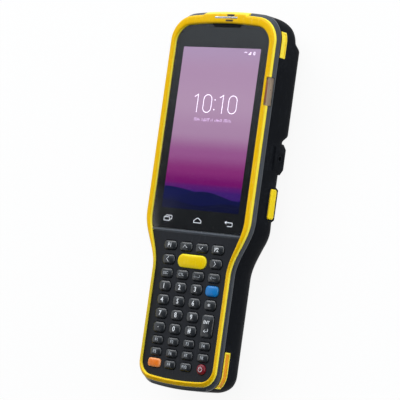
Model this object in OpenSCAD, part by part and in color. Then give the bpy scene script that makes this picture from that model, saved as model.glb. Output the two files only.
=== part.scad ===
// Handheld data terminal with a keypad grip, lying on its back.
// +X is the user's right, +Y points to the scanner end and +Z out of the screen.
// The origin is under the middle of the terminal, on the plane it rests on.

/* [Overall] */
// Length from the scanner end to the foot of the grip
length = 216.7; // [206:0.1:236]
// Width of the head, at the housing
head_w = 76.4; // [74:0.2:84]
// Width of the grip, at the housing
grip_w = 57.2; // [56:0.2:64]
// Thickness, from the resting plane to the top of the bumper
thickness = 30; // [29:0.5:36]

/* [Outline] */
// Length of the head, from the scanner end to the neck
head_l = 118.1; // [115:0.1:124]
// Length of the neck, over which the grip widens into the head
neck_len = 32; // [24:1:40]
// Plan radius of the head's corners
head_corner = 15; // [12:0.5:18]
// Plan radius of the grip's corners
grip_corner = 11; // [10:0.5:16]
// Plan radius of the scanner end's bow
head_bow = 260; // [200:10:400]
// Plan radius of the foot's bow
foot_bow = 170; // [120:10:300]

/* [Rear] */
// Edge radius of the head's back
head_edge = 9; // [8:0.5:12]
// Edge radius of the grip's back
grip_edge = 14.5; // [13:0.5:17]
// Edge radius of the scanner end, seen from the side
end_edge = 8; // [6:0.5:9]
// Edge radius of the foot, seen from the side
foot_edge = 7; // [5:0.5:8]
// Depth of the finger saddle between the hump and the grip
saddle = 4.4; // [3:0.2:6]
// Wall of the rear housing and of the battery cover
wall = 1.8; // [1.5:0.1:2.2]

/* [Front] */
// Height of the seam between the two housings, below the bumper's top
seam_drop = 6.1; // [5.5:0.1:6.5]
// Height of the bumper above its seat
bumper_h = 2.4; // [2:0.1:2.6]
// Bumper width along the head's sides
bumper_head = 3.6; // [3:0.1:4.5]
// Bumper width along the grip's sides
bumper_grip = 1.7; // [1.4:0.1:2.4]
// Bumper width across the scanner end
bumper_end = 5.3; // [4:0.1:6]
// Bumper width across the foot
bumper_foot = 2.8; // [2:0.1:3.5]
// Width of the bumper's tab over the scanner end
tab_w = 31; // [28:1:34]
// Cover glass thickness
glass_t = 0.7; // [0.5:0.1:1]
// Depth of the glass face below the bumper's top
glass_drop = 1.4; // [1.2:0.1:1.8]
// Depth of the keypad face below the bumper's top
plate_drop = 1.8; // [1.6:0.1:2]
// Thickness of the keypad face
plate_t = 1.7; // [1.4:0.1:1.8]

/* [Display] */
// Width of the picture
picture_w = 56.2; // [54:0.2:58]
// Height of the picture
picture_h = 93.6; // [88:0.2:95]
// Distance from the scanner end to the middle of the picture
picture_in = 68.1; // [66:0.1:72]
// Border of the display panel round the picture
panel_border = 2.4; // [2:0.1:2.6]
// Distance from the picture to the lower edge of the cover glass
glass_chin = 11.9; // [9:0.1:13]
// Display panel thickness
panel_t = 2.5; // [2:0.1:2.8]

/* [Keypad] */
// Distance between key columns
col_pitch = 11.49; // [11.2:0.01:11.8]
// Height of the key tops above the keypad face
key_proud = 1.3; // [0.9:0.1:1.6]
// Gap round a key in its hole
key_gap = 0.3; // [0.2:0.05:0.4]
// Width of the flange that keeps a key in
key_lip = 0.5; // [0.5:0.05:0.6]
// Thickness of a key's flange
key_lip_t = 0.8; // [0.6:0.1:1]
// Key travel
key_travel = 0.6; // [0.4:0.05:0.7]

/* [Scan triggers] */
// Length of a trigger button
trigger_l = 17; // [14:0.5:19]
// Height of a trigger button
trigger_h = 5.4; // [5:0.2:6.4]
// Distance from the scanner end to the middle of a trigger
trigger_in = 106.6; // [103:0.1:112]
// Trigger travel
trigger_travel = 1; // [0.6:0.1:1.2]
// Depth of a trigger's middle below the bumper's top
trigger_drop = 17.4; // [16.5:0.1:18.5]

/* [Strap eyelets] */
// Radius of a strap pin hole
eyelet_r = 1.25; // [1:0.05:1.5]
// Depth of a strap pin hole
eyelet_depth = 6; // [4:0.5:6.5]
// Distance from the scanner end to a strap pin hole
eyelet_in = 80.7; // [77:0.1:84]
// Length of the lug round a strap pin hole
lug_l = 17.5; // [14:0.5:20]
// Height of the lug
lug_h = 9.2; // [8:0.1:10]
// Depth of the lug's middle below the bumper's top
lug_drop = 18.1; // [17:0.1:19]

/* [Battery] */
// Width of the battery cover
cover_w = 44.4; // [43:0.2:46]
// Length of the battery cover
cover_l = 69.5; // [66:0.5:72]
// Distance from the foot to the cover's free end
cover_up = 12.5; // [12:0.1:14]
// Gap round the battery cover
cover_gap = 0.3; // [0.2:0.05:0.4]
// Width of the battery pack
pack_w = 38.4; // [36:0.2:39]
// Thickness of the battery pack
pack_t = 13; // [10:0.5:13.5]
// Travel of the cover's latch
latch_travel = 4; // [3:0.2:4.2]

/* [Port] */
// Length of the port cover
port_l = 16; // [12:0.5:18]
// Height of the port cover
port_h = 6.4; // [5.5:0.1:7]
// Distance from the scanner end to the middle of the port cover
port_in = 41.7; // [38:0.1:56]

/* [Hidden] */
touch = 0.1; // clearance of a seated or sliding face
run = 0.05; // radial clearance of a turning pin
over = 1; // how far a cut runs past a face
corner_steps = 8;
end_steps = 4;
side_steps = 3;
neck_steps = 12;

y_top = length / 2;
y_foot = -length / 2;
neck_hi = y_top - head_l;
neck_lo = neck_hi - neck_len;
z_top = thickness;
z_glass = z_top - glass_drop;
z_picture = z_glass - glass_t;
z_plate = z_top - plate_drop;
z_seat = z_top - bumper_h;
z_deck = z_plate - plate_t;
z_seam = z_top - seam_drop;
trigger_z = z_top - trigger_drop;
lug_z = z_top - lug_drop;
picture_y = y_top - picture_in;
glass_y = picture_y - picture_h / 2 - glass_chin;

// An outline is [head half width, grip half width, top, foot, corner radii, bow radii].
function outline_in(d) = [
    head_w / 2 - d, grip_w / 2 - d, y_top - d, y_foot + d,
    head_corner - d, grip_corner - d, head_bow - d, foot_bow - d
];
rim_in = 0.5; // the bumper stands this far inside the housing's sides
rim_end_in = 2.1; // and this far inside its scanner end
rim_foot_in = 2.3; // and this far inside its foot
bumper_out = [
    head_w / 2 - rim_in, grip_w / 2 - rim_in, y_top - rim_end_in, y_foot + rim_foot_in,
    head_corner - rim_in, grip_corner - 1, head_bow, foot_bow
];
function bumper_in(d) = [
    bumper_out[0] - bumper_head - d, bumper_out[1] - bumper_grip - d,
    bumper_out[2] - bumper_end - d, bumper_out[3] + bumper_foot + d,
    head_corner - rim_in - bumper_head - d, grip_corner - 1 - bumper_grip - d,
    head_bow, foot_bow
];
front_wall = 2; // side wall of the front housing
cavity_end = 4.5; // wall at the scanner end of the front housing, at its foot
function cavity_in(d) = [
    head_w / 2 - front_wall - d, grip_w / 2 - front_wall - d,
    y_top - cavity_end - d, y_foot + front_wall + 1.6 + d,
    head_corner - front_wall - d, grip_corner - front_wall - d, head_bow, foot_bow
];

// Half-wave step from 0 to 1.
function wave(t) = t < 0 ? 0 : t > 1 ? 1 : (1 - cos(180 * t)) / 2;
function side_x(o, y) = o[1] + (o[0] - o[1]) * wave((y - neck_lo) / neck_len);

// The right half of an outline, from the foot's bow up to the scanner end's bow.
function half_outline(o) =
    let (
        xt = o[0] - o[4], xb = o[1] - o[5],
        at = asin(xt / (o[6] - o[4])), ab = asin(xb / (o[7] - o[5])),
        yt = o[2] - o[6] + (o[6] - o[4]) * cos(at),
        yb = o[3] + o[7] - (o[7] - o[5]) * cos(ab)
    )
    concat(
        [for (i = [1:end_steps]) let (a = ab * i / end_steps)
            [o[7] * sin(a), o[3] + o[7] * (1 - cos(a))]],
        [for (i = [1:corner_steps]) let (a = ab + (90 - ab) * i / corner_steps)
            [xb + o[5] * sin(a), yb - o[5] * cos(a)]],
        [for (i = [1:side_steps]) [o[1], yb + (neck_lo - yb) * i / side_steps]],
        [for (i = [1:neck_steps]) let (y = neck_lo + neck_len * i / neck_steps) [side_x(o, y), y]],
        [for (i = [1:side_steps]) [o[0], neck_hi + (yt - neck_hi) * i / side_steps]],
        [for (i = [1:corner_steps]) let (a = 90 - (90 - at) * i / corner_steps)
            [xt + o[4] * sin(a), yt + o[4] * cos(a)]],
        [for (i = [1:end_steps - 1]) let (a = at * (1 - i / end_steps))
            [o[6] * sin(a), o[2] - o[6] * (1 - cos(a))]]
    );
function mirrored(h) = [for (i = [len(h) - 1:-1:0]) [-h[i][0], h[i][1]]];
function outline(o) = let (h = half_outline(o)) concat(h, mirrored(h));

// Skin over a stack of closed rings, each symmetrical about its middle, with flat ends.
module skin(rings) {
    n = len(rings[0]);
    last = (len(rings) - 1) * n;
    polyhedron(
        points = [for (r = rings) for (p = r) p],
        faces = concat(
            [for (k = [0:len(rings) - 2]) for (i = [0:n - 1])
                [k * n + i, (k + 1) * n + i, (k + 1) * n + (i + 1) % n, k * n + (i + 1) % n]],
            [for (i = [0:n / 2 - 2]) [i, i + 1, n - 2 - i, n - 1 - i]],
            [for (i = [0:n / 2 - 2]) [last + i, last + n - 1 - i, last + n - 2 - i, last + i + 1]]
        ),
        convexity = 8
    );
}

// Skin over outlines stacked in Z: [[outline, z], ...].
module stack(levels) {
    skin([for (l = levels) [for (p = outline(l[0])) [p[0], p[1], l[1]]]]);
}

module slab(o, z0, z1) {
    translate([0, 0, z0]) linear_extrude(z1 - z0) polygon(outline(o));
}

// Box between two corners.
module block(lo, hi) {
    translate(lo) cube(hi - lo);
}

// Rounded rectangle about the origin, as a polygon.
function rounded(w, h, r, steps = 5) = [
    for (q = [0:3]) for (i = [0:steps]) let (a = 90 * q + 90 * i / steps)
        [(q == 0 || q == 3 ? 1 : -1) * (w / 2 - r) + r * cos(a),
         (q < 2 ? 1 : -1) * (h / 2 - r) + r * sin(a)]
];

// Both hands: the child as it is, and mirrored to the left.
module both_sides() {
    children();
    mirror([1, 0, 0]) children();
}

// ---- Rear body: sections in XZ along the terminal ----
hump_lo = y_top - 66.1; // the hump over the radio and speaker
hump_hi = y_top - 18.7;
hump_ramp = 5;
grip_top = neck_lo + 19.4; // where the grip's back meets the saddle
saddle_ramp = 14;
function back_z(y) =
    saddle * (wave((y - grip_top) / saddle_ramp) - wave((y - hump_lo + hump_ramp) / hump_ramp)
    + wave((y - hump_hi) / hump_ramp));
function lift(r, dy) = dy <= 0 ? 0 : r - sqrt(max(0, r * r - dy * dy));
function rear_z(y, d) =
    back_z(y) + d + lift(end_edge - d, y - y_top + end_edge)
    + lift(foot_edge - d, y_foot + foot_edge - y);
edge_len = 14; // the back's edges tighten over this upper part of the neck
function edge_r(y) = grip_edge + (head_edge - grip_edge) * wave((y - neck_hi + edge_len) / edge_len);
edge_steps = 7;
function rear_half(x, y, d, top) =
    let (z = rear_z(y, d), r = min(edge_r(y) - d, x - 0.2, top - z - 0.5))
    concat(
        [[x, top]],
        [for (i = [0:edge_steps]) let (a = 90 * i / edge_steps)
            [x - r + r * cos(a), z + r - r * sin(a)]]
    );
// An outline with more points on it, at the heights where the back rises and falls.
ramp_steps = 6;
rear_stops = [
    for (i = [0:ramp_steps]) hump_lo - hump_ramp + hump_ramp * i / ramp_steps,
    for (i = [0:ramp_steps]) hump_hi + hump_ramp * i / ramp_steps
];
function with_stops(h, stops) = concat([h[0]], [for (i = [1:len(h) - 1]) let (a = h[i - 1], b = h[i])
    each concat(
        [for (s = stops) if (s > a[1] + 0.05 && s < b[1] - 0.05) a + (b - a) * (s - a[1]) / (b[1] - a[1])],
        [b]
    )]);
// The whole space of the rear body, d inside its skin, up to the height top.
module rear_space(d, top) {
    stations = with_stops(half_outline(outline_in(d)), rear_stops);
    skin([for (p = stations) let (h = rear_half(p[0], p[1], d, top))
        [for (q = concat(h, mirrored(h))) [q[0], p[1], q[1]]]]);
}

// ---- Screws ----
head_screw_x = head_w / 2 - 6.7;
foot_screw_x = 12;
case_screws = [
    [head_screw_x, y_top - 14.7], [head_screw_x, neck_hi - 4.6], [foot_screw_x, y_foot + 6.5]
];
boss_r = 3;
screw_r = 1;
screw_head_r = 1.9;
screw_head_t = 1.4;
screw_seat_z = 8; // the head's underside, inside its counterbore
screw_end_z = z_deck - 0.8;
module at_case_screws() {
    both_sides() for (p = case_screws) translate(p) children();
}
board_screws = [[26, picture_y + picture_h / 2 - 3], [26, picture_y - picture_h / 2 + 2]];
board_z = z_seam - 4.9; // underside of the main board
board_t = 1.2;
chassis_z = z_picture - panel_t; // the display rests on the chassis
chassis_t = 1.2;
standoff_r = 2.5;
small_screw_r = 0.8;
small_head_r = 1.6;
small_head_t = 1.1;
module at_board_screws() {
    both_sides() for (p = board_screws) translate(p) children();
}

// ---- Keypad ----
row_y = [-67.94, -76.05, -83.98, -91.37, -99.27, -107.14, -115.08, -122.35, -129.03, -135.42];
function col_x(c) = (c - 1.5) * col_pitch;
function key_y(r) = picture_y + row_y[r];
top_key = [9, 5.2, 1.9];
arrow_key = [8.8, 5.6, 2.2];
type_key = [8.6, 5.4, 2];
digit_key = [8.4, 5.9, 2.3];
f_key = [8, 4.6, 1.6];
dark = "#3B3E43";
// Each key: name, column, row, [width, height, corner radius], colour.
KEYS = [
    ["key_p1", 0, 0, top_key, dark], ["key_up", 1, 0, top_key, dark],
    ["key_down", 2, 0, top_key, dark], ["key_p2", 3, 0, top_key, dark],
    ["key_left", 0, 1, arrow_key, dark], ["key_scan", 1.5, 1, [20.5, 7.6, 3.7], "#F6CC1A"],
    ["key_right", 3, 1, arrow_key, dark],
    ["key_esc", 0, 2, type_key, dark], ["key_shift", 1, 2, type_key, dark],
    ["key_space", 2, 2, type_key, dark], ["key_backspace", 3, 2, type_key, dark],
    ["key_1", 0, 3, digit_key, dark], ["key_2", 1, 3, digit_key, dark],
    ["key_3", 2, 3, digit_key, dark], ["key_blue", 3, 3, [9, 6, 1.7], "#1E88D0"],
    ["key_4", 0, 4, digit_key, dark], ["key_5", 1, 4, digit_key, dark],
    ["key_6", 2, 4, digit_key, dark], ["key_star", 3, 4, digit_key, dark],
    ["key_7", 0, 5, digit_key, dark], ["key_8", 1, 5, digit_key, dark],
    ["key_9", 2, 5, digit_key, dark], ["key_enter", 3, 5.5, [8.6, 12.8, 2], dark],
    ["key_point", 0, 6, digit_key, dark], ["key_0", 1, 6, digit_key, dark],
    ["key_hash", 2, 6, digit_key, dark],
    ["key_f1", 0, 7, f_key, dark], ["key_f2", 1, 7, f_key, dark],
    ["key_f3", 2, 7, f_key, dark], ["key_f4", 3, 7, f_key, dark],
    ["key_f5", 0, 8, f_key, dark], ["key_f6", 1, 8, f_key, dark],
    ["key_f7", 2, 8, f_key, dark], ["key_f8", 3, 8, f_key, dark],
    ["key_orange", 0, 9, [9, 5, 1.8], "#F08030"], ["key_f9", 1, 9, f_key, dark],
    ["key_f10", 2, 9, f_key, dark], ["key_power", 3, 9, [6.2, 5.8, 2.9], "#A03038"]
];
function key_at(k) =
    [col_x(k[1]), (key_y(floor(k[2])) + key_y(ceil(k[2]))) / 2];
module key_shape(k, grow) {
    s = k[3];
    translate(key_at(k)) polygon(rounded(s[0] + 2 * grow, s[1] + 2 * grow, s[2] + grow));
}
z_lip = z_deck - touch; // top of the key flanges
key_step = 0.35; // the crown's rounded edge, as one step
stem_gap = 0.1; // left under a stem when its key is fully down
stem_r = 1.5;
stem_h = 0.6;
dome_h = 0.4;
mat_t = 0.8;
z_dome = z_lip - key_lip_t - stem_h - key_travel - stem_gap;
z_mat = z_dome - dome_h;
pad_board_t = 1.2;
z_pad_board = z_mat - mat_t - pad_board_t;
pad_w = grip_w - 2 * front_wall - 4;
pad_lo = y_foot + 10.2;
pad_hi = key_y(0) + 6;

module key(k) {
    color(k[4]) {
        translate([0, 0, z_lip - key_lip_t]) linear_extrude(key_lip_t) key_shape(k, key_lip);
        translate([0, 0, z_lip - touch]) linear_extrude(z_plate + key_proud - key_step - z_lip + touch)
            key_shape(k, 0);
        translate([0, 0, z_plate]) linear_extrude(key_proud) key_shape(k, -key_step);
        translate([key_at(k)[0], key_at(k)[1], z_lip - key_lip_t - stem_h])
            cylinder(r = stem_r, h = stem_h + key_lip_t / 2, $fn = 32);
    }
}

module keypad_mat() {
    color("#5A6068") {
        block([-pad_w / 2, pad_lo, z_mat - mat_t], [pad_w / 2, pad_hi, z_mat]);
        for (k = KEYS) translate([key_at(k)[0], key_at(k)[1], z_mat - touch])
            cylinder(r = stem_r + 0.4, h = dome_h + touch, $fn = 32);
    }
}

module keypad_board() {
    color("#1F6B3A") block([-pad_w / 2, pad_lo, z_pad_board], [pad_w / 2, pad_hi, z_mat - mat_t]);
}

// ---- Front ----
window_gap = 0.4;
panel_w = picture_w + 2 * panel_border;
panel_h = picture_h + 2 * panel_border;
module display_hole() {
    block(
        [-panel_w / 2 - window_gap, picture_y - panel_h / 2 - window_gap, z_seam],
        [panel_w / 2 + window_gap, picture_y + panel_h / 2 + window_gap, z_top]
    );
}

lens_lo = y_top - 53.1; // the status lens in the bumper's right side
lens_hi = y_top - 37.1;
lens_x = head_w / 2 - 2.3;
lens_z = z_seat - 2.4;
module lens_space() {
    block([lens_x, lens_lo, lens_z], [head_w / 2 + over, lens_hi, z_top + over]);
}

tab_in = 3.7; // how far the bumper's tab reaches in from the scanner end
tab_slope = 4.2; // length of the slope over the edge
tab_t = 1.8; // thickness of the tab over the scanner end
module tab() {
    translate([-tab_w / 2, 0, 0]) rotate([90, 0, 90]) linear_extrude(tab_w) polygon([
        [y_top - tab_in, z_seat], [y_top - tab_in, z_top],
        [y_top - rim_end_in, z_top], [y_top, z_top - tab_slope], [y_top, z_seam],
        [y_top - tab_t, z_seam], [y_top - tab_t, z_seat - 3], [y_top - rim_end_in - 0.6, z_seat]
    ]);
}

module front_housing() {
    color("#2B2E33") difference() {
        union() {
            stack([[outline_in(0), z_seam], [outline_in(0), z_seam + 1.1], [bumper_out, z_seat]]);
            difference() {
                slab(bumper_in(0), z_seat - touch, z_plate);
                block([-head_w, glass_y, z_picture], [head_w, y_top, z_top]);
            }
        }
        difference() {
            slab(cavity_in(0), z_seam - over, z_deck);
            at_case_screws() translate([0, 0, z_seam - over]) cylinder(r = boss_r, h = z_top, $fn = 48);
        }
        at_case_screws() translate([0, 0, z_seam - over])
            cylinder(r = screw_r + run, h = screw_end_z - z_seam + over, $fn = 32);
        display_hole();
        for (k = KEYS) translate([0, 0, z_deck - over]) linear_extrude(z_top - z_deck)
            key_shape(k, key_gap);
        lens_space();
        tab();
    }
}

module bumper_frame() {
    shelf = 0.9; // height of the bumper's upright foot on the head
    out_h = outline(bumper_out);
    in_h = outline(bumper_in(0));
    n = len(out_h);
    function edge_z(p) = z_top - 0.5 - (bumper_h - shelf - 0.5) * (1 - wave((p[1] - neck_lo) / neck_len));
    function flat(p, q) = q + (p - q) * (0.25 + 0.5 * wave((p[1] - neck_lo) / neck_len));
    color("#F6CC1A") difference() {
        union() {
            polyhedron(
                points = concat(
                    [for (p = in_h) [p[0], p[1], z_seat]],
                    [for (p = out_h) [p[0], p[1], z_seat]],
                    [for (p = out_h) [p[0], p[1], edge_z(p)]],
                    [for (i = [0:n - 1]) let (p = flat(out_h[i], in_h[i])) [p[0], p[1], z_top]],
                    [for (p = in_h) [p[0], p[1], z_top]]
                ),
                faces = [for (k = [0:4]) for (i = [0:n - 1]) let (j = (i + 1) % n, m = (k + 1) % 5)
                    [k * n + i, m * n + i, m * n + j, k * n + j]],
                convexity = 8
            );
            difference() {
                tab();
                slab(bumper_in(0), z_seat - over, z_top + over);
            }
        }
        lens_space();
    }
}

module display_glass() {
    color("#1C1F24") difference() {
        slab(bumper_in(touch), z_picture, z_glass);
        block([-head_w, y_foot, 0], [head_w, glass_y + touch, z_top]);
    }
}

module display_panel() {
    color("#6B5A86") block(
        [-panel_w / 2, picture_y - panel_h / 2, chassis_z],
        [panel_w / 2, picture_y + panel_h / 2, z_picture]
    );
}

module indicator_lens() {
    color("#8C7B6E") block(
        [lens_x, lens_lo + touch, lens_z], [head_w / 2 - 0.2, lens_hi - touch, z_top - 0.3]
    );
}

// ---- Inside ----
web_y = glass_y - 1.2; // the chassis steps down here, from the display to the keypad
module chassis() {
    color("#8E9296") difference() {
        union() {
            difference() {
                slab(cavity_in(0.3), chassis_z - chassis_t, chassis_z);
                block([-head_w, y_foot, 0], [head_w, web_y, z_top]);
            }
            difference() {
                slab(cavity_in(0.8), z_pad_board - chassis_t, z_pad_board);
                block([-head_w, web_y, 0], [head_w, y_top, z_top]);
            }
            block(
                [-pad_w / 2, web_y, z_pad_board - chassis_t],
                [pad_w / 2, web_y + chassis_t, chassis_z]
            );
            at_board_screws() translate([0, 0, board_z + board_t])
                cylinder(r = standoff_r, h = chassis_z - board_z - board_t - 0.2, $fn = 48);
        }
        at_case_screws() cylinder(r = boss_r + 0.2, h = z_top, $fn = 48);
        at_board_screws() translate([0, 0, board_z])
            cylinder(r = small_screw_r + run, h = board_t + 3, $fn = 32);
    }
}

board_w = head_w - 14.4;
board_lo = picture_y - picture_h / 2 - 2;
board_hi = picture_y + picture_h / 2 + 1;
trigger_y = y_top - trigger_in;
guard_x = head_w / 2 + 0.4; // face of the trigger guards
lug_x = head_w / 2 + 1.2; // face of the strap lugs
rail_in = head_w / 2 - wall - 3.8; // inner face of the trigger guards
trigger_lip = 1.2; // thickness of the flange behind a trigger
switch_gap = 0.3;
switch_x = rail_in - touch - trigger_lip - trigger_travel - switch_gap;
port_y = y_top - port_in;
plug_w = 9; // the data socket
plug_h = 3.2;
// The board's largest parts: middle x, middle y from the picture's, width, length, height.
chips = [[-5.5, -0.5, 17, 17, 1.4], [13.5, 4, 13, 16, 1.1], [-14, -27, 16, 14, 1.2]];
module main_board() {
    color("#17603A") difference() {
        block([-board_w / 2, board_lo, board_z], [board_w / 2, board_hi, board_z + board_t]);
        at_board_screws() translate([0, 0, board_z - over])
            cylinder(r = small_screw_r + run, h = board_t + 2 * over, $fn = 32);
    }
    color("#30343A") {
        for (c = chips) translate([c[0], picture_y + c[1], board_z - c[4] / 2])
            cube([c[2], c[3], c[4]], center = true);
        both_sides() block(
            [switch_x - 2.6, trigger_y - 3, trigger_z - 2], [switch_x, trigger_y + 3, board_z]
        );
    }
    color("#B9BDC2") difference() {
        block(
            [-board_w / 2 - 4, port_y - plug_w / 2, board_z - plug_h],
            [-board_w / 2 + 3.4, port_y + plug_w / 2, board_z]
        );
        block(
            [-board_w / 2 - 4 - over, port_y - plug_w / 2 + 0.4, board_z - plug_h + 0.4],
            [-board_w / 2 + 1, port_y + plug_w / 2 - 0.4, board_z - 0.4]
        );
    }
}

engine_w = 21;
engine_lo = board_hi + 2;
engine_hi = y_top - 4;
engine_h = 8.4;
view_z = z_seam - 6.4; // middle of the scan window
engine_z = view_z - engine_h / 2 - 0.9;
module scan_engine() {
    color("#3A3F45") difference() {
        block([-engine_w / 2, engine_lo, engine_z], [engine_w / 2, engine_hi, engine_z + engine_h]);
        translate([-4.2, engine_hi - 2, engine_z + engine_h / 2]) rotate([-90, 0, 0])
            cylinder(r = 3, h = 2 + over, $fn = 48);
        translate([5.2, engine_hi - 1.2, engine_z + engine_h / 2]) rotate([-90, 0, 0])
            cylinder(r = 2, h = 2 + over, $fn = 48);
    }
}

view_w = 26; // the scan window in the scanner end
view_h = 7.8;
view_t = 1.2;
view_y = y_top - 0.9; // its face
module scan_window() {
    color("#5A1A22") translate([0, view_y, view_z]) rotate([90, 0, 0])
        linear_extrude(view_t) polygon(rounded(view_w, view_h, 1.5));
}

camera_x = -17;
camera_y = hump_hi - 14;
camera_r = 3.2;
module camera_module() {
    color("#202327") {
        translate([camera_x, camera_y, 0.3]) cylinder(r = camera_r, h = wall + 1, $fn = 64);
        block([camera_x - 5, camera_y - 5, wall + touch], [camera_x + 5, camera_y + 5, wall + 5]);
        translate([camera_x + 9, camera_y, 0.3]) cylinder(r = 1.8, h = wall + 1, $fn = 48);
        block([camera_x + 4, camera_y - 3, wall + touch], [camera_x + 12, camera_y + 3, wall + 2]);
    }
}

speaker_x = 15;
speaker_y = hump_lo + 14;
speaker_r = 8;
module speaker() {
    color("#4A4D52") {
        translate([speaker_x, speaker_y, wall + touch]) cylinder(r = speaker_r, h = 3, $fn = 64);
        translate([speaker_x, speaker_y, wall + 3]) cylinder(r = 4.5, h = 1.4, $fn = 64);
    }
}

// ---- Battery bay ----
cover_lo = y_foot + cover_up;
cover_hi = cover_lo + cover_l;
bay_wall = 1.2;
bay_gap = 0.3;
pack_lo = cover_lo + 4.4;
pack_hi = cover_hi - 5.8;
pack_z = wall + 0.8;
module pack_section(gap) {
    cut = 4.4; // the pack's chamfers follow the cover's round sides
    w = pack_w / 2 + gap;
    polygon([
        [-w + cut, pack_z - gap], [w - cut, pack_z - gap], [w, pack_z + cut - gap],
        [w, pack_z + pack_t + gap], [-w, pack_z + pack_t + gap], [-w, pack_z + cut - gap]
    ]);
}
module pack_prism(gap) {
    translate([0, pack_hi + gap, 0]) rotate([90, 0, 0])
        linear_extrude(pack_hi - pack_lo + 2 * gap) pack_section(gap);
}
module battery_pack() {
    color("#26292E") pack_prism(0);
}

ledge_z = wall + 4.4; // the cover lies under this ledge of the bay
module bay() {
    difference() {
        union() {
            intersection() {
                block(
                    [-pack_w / 2 - bay_gap - bay_wall, pack_lo - bay_gap - bay_wall, ledge_z - 1],
                    [pack_w / 2 + bay_gap + bay_wall, pack_hi + bay_gap + bay_wall,
                        pack_z + pack_t + bay_gap + bay_wall]
                );
                rear_space(wall + touch, z_seam);
            }
            intersection() {
                block([-grip_w / 2, pack_lo - bay_gap - bay_wall, ledge_z],
                    [grip_w / 2, pack_hi + bay_gap + bay_wall, ledge_z + 1.4]);
                rear_space(wall / 2, z_seam);
            }
        }
        block(
            [-pack_w / 2 - bay_gap, pack_lo - bay_gap, -over],
            [pack_w / 2 + bay_gap, pack_hi + bay_gap, pack_z + pack_t + bay_gap]
        );
    }
}

cover_top = ledge_z + 5; // above the cover's highest edge
hinge_r = 1.2; // the cover's hinge end is rounded about its hinge line
module hinge_barrel(gap) {
    translate([-cover_w / 2 - gap, cover_hi, hinge_r]) rotate([0, 90, 0])
        cylinder(r = hinge_r + gap, h = cover_w + 2 * gap, $fn = 48);
}
module cover_hole() {
    half = cover_w / 2 + cover_gap;
    block([-half, cover_lo - cover_gap, -over], [half, cover_hi + cover_gap, cover_top]);
    block([-half, cover_hi, -over], [half, cover_hi + hinge_r + cover_gap, hinge_r]);
    hinge_barrel(cover_gap);
}

hook_x = 10; // middle of each hook of the cover
hook_w = 6;
hook_l = 3;
hook_t = 1.4;
catch_x = 5; // middle of the steel catch that the latch holds
catch_w = 3;
catch_l = 1.8; // how far it stands out of the cover's end
catch_seat = 3; // how far it reaches over the cover's inside
catch_t = 1.3;
latch_t = 0.9;
latch_gap = 0.1;
latch_z = latch_t + 0.05; // the latch slides in a recess this deep
module battery_cover() {
    color("#25282C") {
        intersection() {
            difference() {
                rear_space(0, z_seam);
                rear_space(wall, z_seam + over);
            }
            block([-cover_w / 2, cover_lo, -over], [cover_w / 2, cover_hi, cover_top]);
        }
        intersection() {
            rear_space(0, z_seam);
            hinge_barrel(0);
        }
        both_sides() {
            block([hook_x - hook_w / 2, cover_hi - 2, wall / 2],
                [hook_x + hook_w / 2, cover_hi - touch, wall + touch + hook_t]);
            block([hook_x - hook_w / 2, cover_hi - 2, wall + touch],
                [hook_x + hook_w / 2, cover_hi + hook_l, wall + touch + hook_t]);
        }
    }
}

module cover_catch() {
    catch_top = wall + touch + catch_t;
    color("#9A9DA0") {
        block([catch_x - catch_w / 2, cover_lo - catch_l, latch_z + latch_gap],
            [catch_x + catch_w / 2, cover_lo - touch, catch_top]);
        block([catch_x - catch_w / 2, cover_lo - catch_l / 2, wall + touch],
            [catch_x + catch_w / 2, cover_lo + catch_seat, catch_top]);
    }
}

latch_w = 8;
latch_l = 5;
latch_x = catch_x - catch_w / 2 - 0.6 - latch_w; // left end of the latch, unlocked
latch_hi = cover_lo - 0.5;
foot_r = 0.9; // half width of the latch's stem
stem_x = latch_x + latch_w / 2;
stem_y = latch_hi - latch_l + 1.6;
module battery_latch() {
    color("#F6CC1A") {
        block([latch_x, latch_hi - latch_l, 0.05], [latch_x + latch_w, latch_hi, latch_t]);
        translate([stem_x, stem_y, latch_t / 2]) cylinder(r = foot_r, h = wall + 0.8, $fn = 48);
        translate([stem_x, stem_y, wall + touch]) cylinder(r = foot_r + 0.9, h = 0.8, $fn = 48);
    }
}
module latch_space() {
    slack = 0.2;
    block([latch_x - slack, latch_hi - latch_l - slack, -over],
        [latch_x + latch_w + latch_travel + slack, cover_lo + touch, latch_z]);
    for (x = [stem_x, stem_x + latch_travel])
        translate([x, stem_y, -over]) cylinder(r = foot_r + touch, h = wall + 2 * over, $fn = 48);
    block([stem_x, stem_y - foot_r - touch, -over],
        [stem_x + latch_travel, stem_y + foot_r + touch, wall + over]);
    block([catch_x - catch_w / 2 - 0.3, cover_lo - catch_l - 0.4, -over],
        [catch_x + catch_w / 2 + 0.3, cover_lo + touch, wall + 2]);
}

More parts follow.
